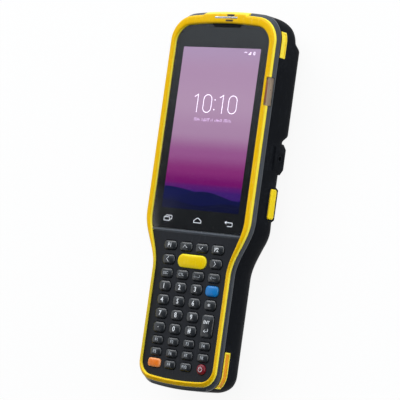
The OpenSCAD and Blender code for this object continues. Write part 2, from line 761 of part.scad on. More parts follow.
// ---- Side controls ----
// A raised block on the head's side, from x_in to its face, with a ramp at each end.
module rail(x_in, face, y, z, l, h, ramp) {
    translate([0, y, z - h / 2]) linear_extrude(h) polygon([
        [x_in, -l / 2], [face - 2, -l / 2], [face, -l / 2 + ramp],
        [face, l / 2 - ramp], [face - 2, l / 2], [x_in, l / 2]
    ]);
}
module guard(x_in) {
    rail(x_in, guard_x, trigger_y, trigger_z, trigger_l + 3.2, trigger_h + 3.2, 1.5);
}
trigger_gap = 0.3;
module trigger_hole() {
    block(
        [rail_in - over, trigger_y - trigger_l / 2 - trigger_gap, trigger_z - trigger_h / 2 - trigger_gap],
        [guard_x + over, trigger_y + trigger_l / 2 + trigger_gap, trigger_z + trigger_h / 2 + trigger_gap]
    );
}
trigger_proud = 0.6;
module trigger() {
    translate([rail_in - touch, trigger_y, trigger_z]) rotate([90, 0, 90])
        linear_extrude(guard_x + trigger_proud - rail_in + touch)
        polygon(rounded(trigger_l, trigger_h, 1.2));
    block(
        [rail_in - touch - trigger_lip, trigger_y - trigger_l / 2 - 1, trigger_z - trigger_h / 2 - 1],
        [rail_in - touch, trigger_y + trigger_l / 2 + 1, trigger_z + trigger_h / 2 + 1]
    );
}
module right_trigger() {
    color("#F6CC1A") trigger();
}
module left_trigger() {
    color("#F6CC1A") mirror([1, 0, 0]) trigger();
}

eyelet_y = y_top - eyelet_in;
module lug(x_in) {
    rail(x_in, lug_x, eyelet_y, lug_z, lug_l, lug_h, 3);
}
module eyelet() {
    translate([lug_x + over, eyelet_y, lug_z]) rotate([0, -90, 0])
        cylinder(r = eyelet_r, h = eyelet_depth + over, $fn = 48);
}

accent_t = 1; // depth of the yellow inlays in the housing's sides
accent_proud = 0.2;
accent_z = [z_seam - 5.2, z_seam - 0.4];
accent_head = [y_top - 25.1, y_top - 10.1];
accent_foot = [y_foot + 3.6, y_foot + 24.6];
module accent_space(w) {
    difference() {
        for (r = [accent_head, accent_foot])
            block([grip_w / 2 - 12, r[0], accent_z[0]], [w, r[1], accent_z[1]]);
        slab(outline_in(accent_t), 0, z_top);
    }
}
module side_accents() {
    color("#F6CC1A") both_sides() intersection() {
        accent_space(head_w);
        slab(outline_in(-accent_proud), 0, z_top);
    }
}

flap_t = 1.2;
flap_r = flap_t / 2;
flap_x = -head_w / 2 + flap_r;
flap_z = z_seam - 1.8 - port_h + flap_r; // the port cover's pivot
pin_l = 1;
module port_cover() {
    color("#202327") {
        block([flap_x - flap_r, port_y - port_l / 2, flap_z],
            [flap_x + flap_r, port_y + port_l / 2, flap_z + port_h - flap_r]);
        translate([flap_x, port_y + port_l / 2, flap_z]) rotate([90, 0, 0])
            cylinder(r = flap_r, h = port_l, $fn = 32);
        translate([flap_x, port_y + port_l / 2 + pin_l, flap_z]) rotate([90, 0, 0])
            cylinder(r = flap_r - 0.1, h = port_l + 2 * pin_l, $fn = 32);
        block([flap_x, port_y - plug_w / 2 + 0.8, board_z - plug_h + 0.8],
            [flap_x + flap_r + 1.2, port_y + plug_w / 2 - 0.8, board_z - 0.8]);
    }
}
module port_space() {
    slack = 0.2;
    block([-head_w, port_y - port_l / 2 - slack, flap_z - flap_r - touch],
        [flap_x + flap_r + touch, port_y + port_l / 2 + slack, flap_z + port_h - flap_r + slack]);
    translate([flap_x, port_y + port_l / 2 + pin_l + slack, flap_z]) rotate([90, 0, 0])
        cylinder(r = flap_r - 0.1 + run, h = port_l + 2 * pin_l + 2 * slack, $fn = 32);
    block([-head_w, port_y - plug_w / 2 - slack, board_z - plug_h - slack],
        [-head_w / 2 + wall + over, port_y + plug_w / 2 + slack, board_z + slack]);
}

// ---- Rear housing ----
slot_w = 1;
slot_l = 9;
module rear_housing() {
    color("#1F2226") difference() {
        union() {
            difference() {
                union() {
                    rear_space(0, z_seam);
                    both_sides() guard(head_w / 2 - 6);
                    both_sides() lug(head_w / 2 - 6);
                }
                difference() {
                    rear_space(wall, z_seam + over);
                    both_sides() guard(rail_in);
                    both_sides() lug(lug_x - eyelet_depth - 1.5);
                    intersection() {
                        at_case_screws() cylinder(r = boss_r, h = z_seam, $fn = 48);
                        rear_space(wall / 2, z_seam);
                    }
                    block([-8, engine_lo + 1, 0], [8, engine_lo + 3, engine_z]);
                    block([-8, engine_hi - 3, 0], [8, engine_hi - 1, engine_z]);
                }
                cover_hole();
            }
            bay();
        }
        at_case_screws() {
            cylinder(r = screw_r + run, h = z_seam + over, $fn = 32);
            translate([0, 0, -over]) cylinder(r = screw_head_r + 0.2, h = screw_seat_z + over, $fn = 48);
        }
        latch_space();
        both_sides() trigger_hole();
        both_sides() eyelet();
        both_sides() accent_space(head_w);
        port_space();
        translate([0, y_top + over, view_z]) rotate([90, 0, 0])
            linear_extrude(y_top - view_y + view_t + over)
            polygon(rounded(view_w + 2 * touch, view_h + 2 * touch, 1.6));
        block([-view_w / 2 + 1.2, engine_hi, view_z - view_h / 2 + 1.2],
            [view_w / 2 - 1.2, y_top, view_z + view_h / 2 - 1.2]);
        translate([camera_x, camera_y, -over]) cylinder(r = camera_r + 0.2, h = wall + 2 * over, $fn = 64);
        translate([camera_x + 9, camera_y, -over]) cylinder(r = 2, h = wall + 2 * over, $fn = 48);
        for (i = [-2:2]) translate([speaker_x, speaker_y + i * 2.4, 0])
            block([-slot_l / 2, -slot_w / 2, -over], [slot_l / 2, slot_w / 2, wall + over / 2]);
    }
}

module screws() {
    color("#6E7276") {
        at_case_screws() difference() {
            union() {
                translate([0, 0, screw_seat_z - screw_head_t])
                    cylinder(r = screw_head_r, h = screw_head_t, $fn = 48);
                translate([0, 0, screw_seat_z - touch])
                    cylinder(r = screw_r, h = screw_end_z - screw_seat_z - 0.2, $fn = 32);
            }
            translate([0, 0, screw_seat_z - screw_head_t - over])
                cylinder(r = 0.9, h = over + 0.8, $fn = 6);
        }
        at_board_screws() difference() {
            union() {
                translate([0, 0, board_z - small_head_t])
                    cylinder(r = small_head_r, h = small_head_t, $fn = 48);
                translate([0, 0, board_z - touch]) cylinder(r = small_screw_r, h = board_t + 2.4, $fn = 32);
            }
            translate([0, 0, board_z - small_head_t - over]) cylinder(r = 0.8, h = over + 0.6, $fn = 6);
        }
    }
}

// The main board and the keypad board are two solids of one node.
module circuit_boards() {
    main_board();
    keypad_board();
}

front_housing();
bumper_frame();
display_glass();
display_panel();
indicator_lens();
chassis();
circuit_boards();
keypad_mat();
scan_engine();
scan_window();
camera_module();
speaker();
battery_pack();
rear_housing();
battery_cover();
cover_catch();
battery_latch();
right_trigger();
left_trigger();
port_cover();
side_accents();
screws();
for (k = KEYS) key(k);
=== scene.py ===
# %% [markdown]
# # A rugged data terminal, modelled in Blender
# The terminal is a handheld computer with a touch display in its wide head, 38 keys on its grip, a scan
# button in each side, and a yellow bumper round its front. It lies on its back. This script loads the
# engineering model as a fixed frame, and then makes each visible part again with softer edges and a
# finish of its own. Every number is in millimetres until a mesh is made, and Blender gets metres.

import math

import bmesh
import bpy
from mathutils import Matrix, Vector


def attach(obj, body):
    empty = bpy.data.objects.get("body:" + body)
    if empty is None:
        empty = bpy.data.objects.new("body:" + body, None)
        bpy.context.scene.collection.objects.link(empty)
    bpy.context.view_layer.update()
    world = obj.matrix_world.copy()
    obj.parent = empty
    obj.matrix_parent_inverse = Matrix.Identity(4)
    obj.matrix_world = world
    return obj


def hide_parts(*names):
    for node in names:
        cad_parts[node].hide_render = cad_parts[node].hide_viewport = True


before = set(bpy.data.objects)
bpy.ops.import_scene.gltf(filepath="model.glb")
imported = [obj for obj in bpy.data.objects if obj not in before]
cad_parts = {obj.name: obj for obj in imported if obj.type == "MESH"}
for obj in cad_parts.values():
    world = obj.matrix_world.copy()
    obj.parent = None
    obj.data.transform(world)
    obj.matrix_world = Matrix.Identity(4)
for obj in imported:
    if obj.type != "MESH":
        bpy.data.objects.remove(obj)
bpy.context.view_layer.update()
MM = 0.001

# %% [markdown]
# ## Camera
# A long, flat object looks best through a long lens from some distance, so that its sides stay almost
# parallel. Such a camera could be aimed with a Track To constraint. Here its three axes are written
# down as a matrix, because then the roll of the camera is exact as well.

# %% Camera


def placed(name, data):
    """Puts data into the scene as a new object."""
    thing = bpy.data.objects.new(name, data)
    bpy.context.scene.collection.objects.link(thing)
    return thing


camera = placed("camera", bpy.data.cameras.new("camera"))
camera.data.lens, camera.data.sensor_width = 194.8, 36
camera.data.clip_start, camera.data.clip_end = 0.05, 20
right, up, back = (0.7724, 0.1378, -0.6200), (-0.0715, 0.9888, 0.1308), (0.6311, -0.0567, 0.7736)
axes = Matrix((right, up, back)).transposed().to_4x4()
camera.matrix_world = Matrix.Translation((0.7734, -0.07015, 0.9770)) @ axes
bpy.context.scene.camera = camera
print("camera at", tuple(round(v, 3) for v in camera.matrix_world.translation))

# %% [markdown]
# ## Outlines
# Seen from the front, every part follows one outline: a wide head, a neck that draws in over half a
# wave, and a slim grip, with slightly bowed ends. A curve object could hold that shape. A formula is
# better here, because the bumper, the case and the back need the same outline at many insets, and all
# of them need equal numbers of points, so that they can be joined row by row.

# %% Outlines
Y_TOP, Y_FOOT = 108.33, -108.28
NECK_LO, NECK_LEN = -41.75, 32.0
NECK_HI = NECK_LO + NECK_LEN
CORNER, SIDE, NECK, BOW = 16, 14, 36, 12
TAB_HALF = 15.5
TAB_SHARE = 1 - TAB_HALF / 24.5
BOW_STOPS = sorted([i / BOW for i in range(1, BOW)] + [TAB_SHARE + s for s in (-0.012, -0.004, 0.004, 0.012)])
# A shape: half widths of head and grip, top, foot, corner radii of head and grip, bow radii of top and foot.
RIM_OUT = (37.7, 28.1, 106.25, -106.05, 14.5, 10, 260, 170)
RIM_IN = (34.1, 26.4, 100.95, -103.25, 10.9, 8.3, 260, 170)


def housing(d):
    return (38.2 - d, 28.6 - d, Y_TOP - d, Y_FOOT + d, 15 - d, 11 - d, 260 - d, 170 - d)


def shrink(shape, d):
    return tuple(v + d if i == 3 else v - d for i, v in enumerate(shape[:6])) + shape[6:]


def wave(t):
    """A half wave from 0 to 1."""
    return (1 - math.cos(math.pi * min(max(t, 0.0), 1.0))) / 2


def headward(y):
    """0 on the grip, 1 on the head."""
    return wave((y - NECK_LO) / NECK_LEN)


def bend(x, y, r, up, start, end):
    """A corner's points. The angles run from its lowest point, or from its highest if up is 1."""
    angles = [start + (end - start) * i / CORNER for i in range(1, CORNER + 1)]
    return [(x + r * math.sin(a), y + up * r * math.cos(a)) for a in angles]


def half_outline(shape):
    """The right half of an outline, from the foot to the scanner end."""
    head, grip, top, foot, r_head, r_grip, bow_top, bow_foot = shape
    xt, xb = head - r_head, grip - r_grip
    at, ab = math.asin(xt / (bow_top - r_head)), math.asin(xb / (bow_foot - r_grip))
    yt = top - bow_top + (bow_top - r_head) * math.cos(at)
    yb = foot + bow_foot - (bow_foot - r_grip) * math.cos(ab)
    points = [(bow_foot * math.sin(ab * i / BOW), foot + bow_foot * (1 - math.cos(ab * i / BOW)))
              for i in range(1, BOW + 1)]
    points += bend(xb, yb, r_grip, -1, ab, math.pi / 2)
    points += [(grip, yb + (NECK_LO - yb) * i / SIDE) for i in range(1, SIDE + 1)]
    for i in range(1, NECK + 1):
        y = NECK_LO + NECK_LEN * i / NECK
        points.append((grip + (head - grip) * headward(y), y))
    points += [(head, NECK_HI + (yt - NECK_HI) * i / SIDE) for i in range(1, SIDE + 1)]
    points += bend(xt, yt, r_head, 1, math.pi / 2, at)
    points += [(bow_top * math.sin(at * (1 - t)), top - bow_top * (1 - math.cos(at * (1 - t))))
               for t in BOW_STOPS]
    return points


def mirrored(points):
    return [(-p[0],) + tuple(p[1:]) for p in reversed(points)]


def outline(shape):
    points = half_outline(shape)
    return points + mirrored(points)


print("points round an outline", len(outline(RIM_OUT)))

# %% [markdown]
# ## Mesh tools
# Almost every part here is one of four things: rows of points joined by a skin, a flat shape pushed
# along an axis, a profile turned round an axis, or one of these with others cut out of it. A few small
# tools make them. Edges that a mould would round get a bevel, because a razor-sharp edge never catches
# the light as real plastic does.

# %% Mesh tools
# For each axis: the two others in cyclic order, and then itself.
AXES = {"X": (1, 2, 0), "Y": (2, 0, 1), "Z": (0, 1, 2)}


def raw_mesh(name, points, faces):
    """A new object from points in millimetres, with its faces as they are given."""
    mesh = bpy.data.meshes.new(name)
    mesh.from_pydata([[c * MM for c in p] for p in points], [], faces)
    return placed(name, mesh)


def mesh_object(name, points, faces):
    """A new object without double points, with every face pointing outwards."""
    thing = raw_mesh(name, points, faces)
    work = bmesh.new()
    work.from_mesh(thing.data)
    bmesh.ops.remove_doubles(work, verts=work.verts, dist=1e-7)
    bmesh.ops.recalc_face_normals(work, faces=work.faces)
    work.to_mesh(thing.data)
    work.free()
    return thing


def strip(a, b, n):
    """Faces between two closed rows of n points that start at a and at b."""
    return [(a + i, a + (i + 1) % n, b + (i + 1) % n, b + i) for i in range(n)]


def skin(name, rows, ring=False):
    """Joins closed rows of points. A ring is joined round to its first row, and anything else gets ends."""
    n, m = len(rows[0]), len(rows)
    faces = [face for k in range(m if ring else m - 1) for face in strip(k * n, (k + 1) % m * n, n)]
    if not ring:
        for start in (0, (m - 1) * n):
            faces += [(start + i, start + i + 1, start + n - 2 - i, start + n - 1 - i)
                      for i in range(n // 2 - 1)]
    return mesh_object(name, [p for row in rows for p in row], faces)


def on_axis(axis, a, b, level):
    """A point at a level along an axis. a and b are its place on the two other axes in cyclic order."""
    p = [0, 0, 0]
    for k, value in zip(AXES[axis], (a, b, level)):
        p[k] = value
    return p


def prism(name, shape, axis, low, high):
    """A flat shape pushed along an axis."""
    n = len(shape)
    points = [on_axis(axis, a, b, level) for level in (low, high) for a, b in shape]
    return mesh_object(name, points, [tuple(range(n)), tuple(range(n, 2 * n))] + strip(0, n, n))


def block(name, low, high):
    shape = [(low[0], low[1]), (high[0], low[1]), (high[0], high[1]), (low[0], high[1])]
    return prism(name, shape, "Z", low[2], high[2])


def rounded(w, h, r, steps=6, centre=(0, 0)):
    """A rounded rectangle as a list of points."""
    points = []
    for q, (sx, sy) in enumerate(((1, 1), (-1, 1), (-1, -1), (1, -1))):
        for i in range(steps + 1):
            a = math.pi / 2 * (q + i / steps)
            points.append((centre[0] + sx * (w / 2 - r) + r * math.cos(a),
                           centre[1] + sy * (h / 2 - r) + r * math.sin(a)))
    return points


def circle(r, centre, steps):
    turns = [2 * math.pi * i / steps for i in range(steps)]
    return [(centre[0] + r * math.cos(a), centre[1] + r * math.sin(a)) for a in turns]


def turned(name, profile, axis, centre, steps=48):
    """A profile of (radius, height) pairs turned round an axis."""
    last = len(profile) - 1
    points = [on_axis(axis, a, b, level) for r, level in profile for a, b in circle(r, centre, steps)]
    faces = [face for k in range(last) for face in strip(k * steps, (k + 1) * steps, steps)]
    return mesh_object(name, points, faces + [tuple(range(steps)), tuple(range(last * steps, len(points)))])


def rod(name, r, axis, centre, low, high, steps=48):
    return turned(name, [(r, low), (r, high)], axis, centre, steps)


def final_mesh(thing):
    """A new mesh of what an object shows, with its modifiers applied."""
    return bpy.data.meshes.new_from_object(thing.evaluated_get(bpy.context.evaluated_depsgraph_get()))


def curve_mesh(name, curve):
    """The mesh of a curve or a text."""
    thing = placed(name, curve)
    mesh = final_mesh(thing)
    bpy.data.objects.remove(thing)
    return mesh


def settle(thing):
    """Applies an object's modifiers to its mesh."""
    old, done = thing.data, final_mesh(thing)
    thing.modifiers.clear()
    thing.data = done
    done.name = thing.name
    bpy.data.meshes.remove(old)
    return thing


def combine(thing, others, how):
    """Cuts the others out of an object, adds them to it, or keeps what they share, and removes them."""
    for other in others:
        step = thing.modifiers.new(how, "BOOLEAN")
        step.operation, step.object, step.solver = how, other, "EXACT"
    settle(thing)
    for other in others:
        bpy.data.objects.remove(other)
    return thing


def carve(thing, *others):
    return combine(thing, others, "DIFFERENCE")


def unite(thing, *others):
    return combine(thing, others, "UNION")


def soften(thing, width, segments=2, angle=40):
    """Rounds the edges that turn by more than an angle."""
    step = thing.modifiers.new("soft edges", "BEVEL")
    step.width, step.segments = width * MM, segments
    step.limit_method, step.angle_limit = "ANGLE", math.radians(angle)
    step.use_clamp_overlap = True
    return settle(thing)


def join(thing, *others, name=None):
    """Puts several meshes into one object, without merging them, and keeps their materials."""
    both = bmesh.new()
    slots = []
    for part in (thing,) + others:
        shift, start = len(slots), len(both.faces)
        slots += list(part.data.materials)
        both.from_mesh(part.data)
        both.faces.ensure_lookup_table()
        for face in both.faces[start:]:
            face.material_index += shift
    thing.data.materials.clear()
    for slot in slots:
        thing.data.materials.append(slot)
    both.to_mesh(thing.data)
    both.free()
    for other in others:
        bpy.data.objects.remove(other)
    thing.name = name or thing.name
    return thing


def finish_of(name):
    return bpy.data.materials[name + "_finish"]


def paint(thing, finish):
    """Gives an object one finish, by its name."""
    thing.data.materials.clear()
    thing.data.materials.append(finish_of(finish))
    return thing


def dress(thing, slot, *nodes, finish=None, body="housing", angle=35):
    """Gives a part its finish, by default the one named by slot, smooth shading and a body, and hides the
    nodes it stands in for.
    """
    if not thing.data.materials:
        paint(thing, finish or slot)
    thing.data.polygons.foreach_set("use_smooth", [True] * len(thing.data.polygons))
    thing.data.set_sharp_from_angle(angle=math.radians(angle))
    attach(thing, body)
    if nodes:
        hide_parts(*nodes)
    print(thing.name, len(thing.data.polygons), "faces, rides on", body)
    return thing


# %% [markdown]
# ## Shared finishes
# Moulded parts have three things in common: the fine grain of the mould, edges that rub bright, and
# faint marks from hands. Each is a node group, so that every material can use it with values of its
# own. They could be painted as image textures, but procedural nodes need no unwrapping and stay sharp
# at any distance. A group gives only masks and heights, and the shader stays in the material.

# %% Node tools


def tint(code):
    """A colour written as in a web page, in the linear values that shaders use."""
    parts = [int(code[i:i + 2], 16) / 255 for i in (1, 3, 5)]
    return tuple(c / 12.92 if c <= 0.04045 else ((c + 0.055) / 1.055) ** 2.4 for c in parts) + (1.0,)


def feed(tree, target, sockets):
    """Sets a node's inputs to numbers and colours, and links outputs to them, or a node's first output."""
    for key, value in sockets.items():
        if isinstance(value, bpy.types.Node):
            value = value.outputs[0]
        if isinstance(value, bpy.types.NodeSocket):
            tree.links.new(value, target.inputs[key])
        else:
            target.inputs[key].default_value = value
    return target


def node(tree, kind, sockets, **settings):
    """Adds a node with its settings, and sets its inputs."""
    new = tree.nodes.new(kind)
    for key, value in settings.items():
        setattr(new, key, value)
    return feed(tree, new, sockets)


def maths(tree, operation, a, b=0.5, clamp=False):
    return node(tree, "ShaderNodeMath", {0: a, 1: b}, operation=operation, use_clamp=clamp).outputs[0]


def spread(tree, value, low, high, new_low=0.0, new_high=1.0):
    """Moves a range of values to another range, and stops at its ends."""
    return node(tree, "ShaderNodeMapRange", {"Value": value, "From Min": low, "From Max": high,
                                             "To Min": new_low, "To Max": new_high}).outputs["Result"]


def mix(tree, share, a, b):
    return node(tree, "ShaderNodeMix", {0: share, 6: a, 7: b}, data_type="RGBA").outputs[2]


def mix_shaders(tree, share, a, b):
    return node(tree, "ShaderNodeMixShader", {0: share, 1: a, 2: b})


def noise(tree, place, scale, detail=2.0, roughness=0.5):
    return node(tree, "ShaderNodeTexNoise", {"Vector": place, "Scale": scale, "Detail": detail,
                                             "Roughness": roughness}).outputs["Fac"]


def bump(tree, height, depth, strength=1.0):
    return node(tree, "ShaderNodeBump", {"Height": height, "Strength": strength, "Distance": depth * MM})


def place_of(tree):
    return tree.nodes.new("ShaderNodeTexCoord").outputs["Object"]


def new_group(name, inputs, outputs):
    """A node group with number sockets: inputs as names and values, outputs as names."""
    group = bpy.data.node_groups.new(name, "ShaderNodeTree")
    for label, value in inputs.items():
        group.interface.new_socket(label, in_out="INPUT", socket_type="NodeSocketFloat").default_value = value
    for label in outputs:
        group.interface.new_socket(label, in_out="OUTPUT", socket_type="NodeSocketFloat")
    print("group", name, "outputs", outputs)
    return group, group.nodes.new("NodeGroupInput").outputs, group.nodes.new("NodeGroupOutput")


def use_group(tree, name, values):
    return node(tree, "ShaderNodeGroup", values, node_tree=bpy.data.node_groups[name]).outputs


# %% [markdown]
# The grain of a spark-eroded mould is a carpet of shallow, irregular pits. Noise gives the waviness
# and Voronoi cells give the pits. The group's height goes into a bump, and its speckle varies the
# colour and the gloss a little.

# %% Mould grain
tree, given, result = new_group("Mould Grain", {"Scale": 3000.0, "Pits": 0.6}, ("Height", "Speckle"))
here = place_of(tree)
cells = node(tree, "ShaderNodeTexVoronoi", {"Vector": here, "Scale": given["Scale"]})
pits = maths(tree, "MULTIPLY", cells, given["Pits"])
waviness = noise(tree, here, given["Scale"], 3.0, 0.6)
speckle = noise(tree, here, maths(tree, "MULTIPLY", given["Scale"], 0.35), 2.0)
feed(tree, result, {"Height": maths(tree, "ADD", pits, waviness), "Speckle": spread(tree, speckle, 0.3, 0.7)})

# %% [markdown]
# Corners rub against tables and pockets first. Cycles knows how sharply a surface turns at each point,
# as pointiness, and a noise breaks the line up, because wear never runs evenly along an edge.

# %% Edge wear
tree, given, result = new_group("Edge Wear", {"Amount": 0.5, "Break Up": 400.0}, ("Mask",))
sharp = tree.nodes.new("ShaderNodeNewGeometry").outputs["Pointiness"]
patches = spread(tree, noise(tree, place_of(tree), given["Break Up"], 4.0, 0.7), 0.45, 0.75)
rubbed = maths(tree, "MULTIPLY", spread(tree, sharp, 0.515, 0.60), patches)
feed(tree, result, {"Mask": maths(tree, "MULTIPLY", rubbed, given["Amount"], True)})

# %% [markdown]
# Hands leave a thin, uneven film and short hairline scratches. The film is a soft noise. The scratches
# are the narrow bands where a stretched noise crosses its middle value.

# %% Handling marks
tree, given, result = new_group("Handling Marks", {"Film Size": 60.0, "Scratch Size": 900.0},
                                ("Film", "Scratches"))
here = place_of(tree)
stretched = node(tree, "ShaderNodeMapping", {"Vector": here, "Rotation": (0.3, 0.2, 0.9),
                                             "Scale": (1.0, 0.06, 0.5)})
hair = noise(tree, stretched, given["Scratch Size"], 1.0)
crossing = maths(tree, "ABSOLUTE", maths(tree, "SUBTRACT", hair, 0.5))
feed(tree, result, {"Film": spread(tree, noise(tree, here, given["Film Size"], 5.0, 0.6), 0.35, 0.7),
                    "Scratches": spread(tree, crossing, 0.0, 0.012, 1.0, 0.0)})

# %% [markdown]
# ## Moulded materials
# One recipe serves every moulded part. It takes a colour, a gloss, a grain and an amount of wear, and
# the values tell a hard black back from a soft yellow bumper or a silicone key. Colour, roughness and
# normal vary over the surface. Everything that is the same all over is set on the shader itself.

# %% The moulded recipe
# Each finish: colour, rubbed colour, roughness, grain per metre, its depth in millimetres, wear, shine.
MOULDED = {
    "front_plastic": ("#30373F", "#6A7078", 0.36, 2600, 0.02, 0.4, 0.45),
    "plate_plastic": ("#1B1D22", "#474B52", 0.42, 2400, 0.015, 0.2, 0.2),
    "rear_plastic": ("#15171B", "#2C2F34", 0.52, 1800, 0.05, 0.4, 0.02),
    # The lip's light grey is a painted highlight for the bright line along the glass's lower edge.
    "trim_plastic": ("#5A6069", "#8A9098", 0.36, 2600, 0.01, 0.3, 0.4),
    "yellow_bumper": ("#EAB800", "#FFE98A", 0.34, 2200, 0.01, 0.35, 0.1),
    "orange_field": ("#EE9A08", "#FFC860", 0.36, 2200, 0.01, 0.2, 0.15),
    "yellow_button": ("#F6CC00", "#FFEE8A", 0.32, 2600, 0.008, 0.3, 0.1),
    "black_rubber": ("#0E0F11", "#2C2E32", 0.66, 1500, 0.04, 0.3, 0.12),
    "dark_key": ("#1F2226", "#6A7078", 0.26, 3400, 0.006, 0.5, 0.6),
    "yellow_key": ("#E2C000", "#FFF08A", 0.28, 3400, 0.006, 0.3, 0.12),
    "blue_key": ("#0872B8", "#7CC0F0", 0.28, 3400, 0.006, 0.3, 0.4),
    "orange_key": ("#E27412", "#FFC090", 0.28, 3400, 0.006, 0.3, 0.35),
    "red_key": ("#741826", "#C86A74", 0.32, 3400, 0.006, 0.3, 0.3),
    "module_black": ("#222529", "#555A60", 0.5, 2600, 0.02, 0.4, 0.3),
    "silicone_mat": ("#565C64", "#7A8088", 0.6, 1800, 0.02, 0.2, 0.5),
    "battery_wrap": ("#24272C", "#4C5158", 0.4, 900, 0.02, 0.3, 0.5),
    "dark_window": ("#0E0F12", "#2A2C30", 0.12, 3000, 0.002, 0.1, 0.5),
    "brown_window": ("#4A2E1E", "#6A4A38", 0.2, 3000, 0.002, 0.1, 0.5),
    "screen_ink": ("#0A0B0D", "#121316", 0.5, 3000, 0.0, 0.0, 0.1),
    "lens_diffuser": ("#B5A998", "#B8AA98", 0.6, 2000, 0.01, 0.1, 0.5),
    "lens_red": ("#A8503C", "#C08070", 0.5, 2000, 0.01, 0.1, 0.5),
    "lamp_lens": ("#E9DFA8", "#FFF6D0", 0.2, 1200, 0.03, 0.1, 0.5),
}
# A slope highlight is a painted highlight: a paler second colour for faces that don't look up, where rounded
# edges would catch the light. It comes in as the face's normal falls from the first value to the second.
SLOPE_HIGHLIGHTS = {"yellow_bumper": ("#FCE43C", 0.66, 0.40), "yellow_button": ("#FADA14", 0.66, 0.40),
          "yellow_key": ("#FFEE30", 0.99, 0.80), "orange_key": ("#EFA068", 0.99, 0.80)}
# How much the film from hands lowers the roughness, where it isn't 0.1, and the clear coat.
FILMS = {"dark_window": 0.04, "brown_window": 0.04, "screen_ink": 0.05, "lamp_lens": 0.05}
COATS = {"dark_window": 1.0, "lamp_lens": 0.6}


def new_material(name, colour):
    material = bpy.data.materials.new(name + "_finish")
    material.use_nodes = True
    material.diffuse_color = colour
    return material.node_tree, material.node_tree.nodes["Principled BSDF"]


def moulded(name, colour, rubbed, gloss, grain, depth, wear, shine):
    base, worn = tint(colour), tint(rubbed)
    tree, surface = new_material(name, base)
    texture = use_group(tree, "Mould Grain", {"Scale": grain, "Pits": 0.6})
    edges = use_group(tree, "Edge Wear", {"Amount": wear, "Break Up": 500.0})
    marks = use_group(tree, "Handling Marks", {"Film Size": 70.0, "Scratch Size": 900.0})
    darker = tuple(c * 0.82 for c in base[:3]) + (1.0,)
    shade = mix(tree, maths(tree, "MULTIPLY", texture["Speckle"], 0.5), base, darker)
    # Painted highlight: faces that turn away from straight up take the paler highlight colour.
    if name in SLOPE_HIGHLIGHTS:
        highlight, none, full = SLOPE_HIGHLIGHTS[name]
        normal = tree.nodes.new("ShaderNodeNewGeometry").outputs["Normal"]
        facing = node(tree, "ShaderNodeSeparateXYZ", {0: normal}).outputs["Z"]
        shade = mix(tree, spread(tree, facing, none, full), shade, tint(highlight))
    shade = mix(tree, maths(tree, "MULTIPLY", marks["Scratches"], 0.25), shade, worn)
    rough = spread(tree, marks["Film"], 0.0, 1.0, gloss, gloss - FILMS.get(name, 0.1))
    feed(tree, surface, {
        "Base Color": mix(tree, edges["Mask"], shade, worn),
        "Roughness": maths(tree, "ADD", rough, maths(tree, "MULTIPLY", texture["Speckle"], 0.05)),
        "Normal": bump(tree, texture["Height"], depth, 0.5),
        "Specular IOR Level": shine, "Coat Weight": COATS.get(name, 0.0)})


for name, values in MOULDED.items():
    moulded(name, *values)
print("moulded materials", len(bpy.data.materials))

# %% [markdown]
# ## The bumper
# The bumper is a ring of tough yellow elastomer, moulded over the case. On the head its top is flat
# and its outer edge rolls down. On the grip it narrows and becomes a slope. A curve with a bevel
# profile could make a ring of one section, but not one that changes on its way, so each row here lies
# a share of the way from the outer outline to the inner one, and the share and the height both change
# with the place. At the scanner end the outer rows run out and down, as a tab over the edge.

# %% Bumper
# Each row: share and height on the head, share and height on the grip, distance and height on the tab.
RIM_ROWS = [
    (0.00, 27.60, 0.00, 27.60, 108.25, 24.0), (0.00, 28.50, 0.00, 28.05, 108.3, 25.55),
    (0.02, 28.95, 0.01, 28.35, 108.15, 26.05), (0.06, 29.35, 0.04, 28.62, 107.9, 26.55),
    (0.13, 29.70, 0.12, 28.88, 107.2, 28.05), (0.21, 29.90, 0.30, 29.25, 106.55, 29.35),
    (0.30, 29.99, 0.50, 29.62, 106.1, 29.85), (0.45, 30.00, 0.66, 29.88, 105.3, 30.0),
    (0.62, 30.00, 0.70, 29.98), (0.76, 30.00, 0.78, 29.96), (0.86, 29.90, 0.86, 29.85),
    (0.94, 29.66, 0.94, 29.62), (0.985, 29.35, 0.985, 29.32), (1.00, 29.0, 1.00, 29.0),
    (1.00, 27.60, 1.00, 27.60),
]
RIM_TOP, SLOT_FLOOR = 30, 28.6
# The gap for the status lens, from its lowest to its highest corner.
LENS_GAP = ((35.9, 55.15, 25.0), (40, 71.35, 31))


def tab_share(x, y):
    """1 where the tab covers the scanner end."""
    return wave((TAB_HALF + 0.15 - abs(x)) / 0.3) if y > 90 else 0.0


outer, inner = outline(RIM_OUT), outline(RIM_IN)
rows = []
for s_head, z_head, s_grip, z_grip, *tab in RIM_ROWS:
    row = []
    for (ox, oy), (ix, iy) in zip(outer, inner):
        w = headward(oy)
        s, z = s_grip + (s_head - s_grip) * w, z_grip + (z_head - z_grip) * w
        x, y = ox + (ix - ox) * s, oy + (iy - oy) * s
        if tab:
            t, tab_y, tab_z = tab_share(ox, oy), *tab
            x, y, z = x + (ox - x) * t, y + (tab_y + (oy - RIM_OUT[2]) - y) * t, z + (tab_z - z) * t
        row.append((x, y, z))
    rows.append(row)
bumper = carve(skin("bumper", rows, ring=True), block("cut", *LENS_GAP))

# %% [markdown]
# In the middle of the scanner end, two small sensors look out of the bumper, with a bright strip
# between them. Each sits in a slot, so the slots are cut first, and the windows are set a little
# below the bumper's face. Black rectangles painted on the bumper would lose that shadow line.

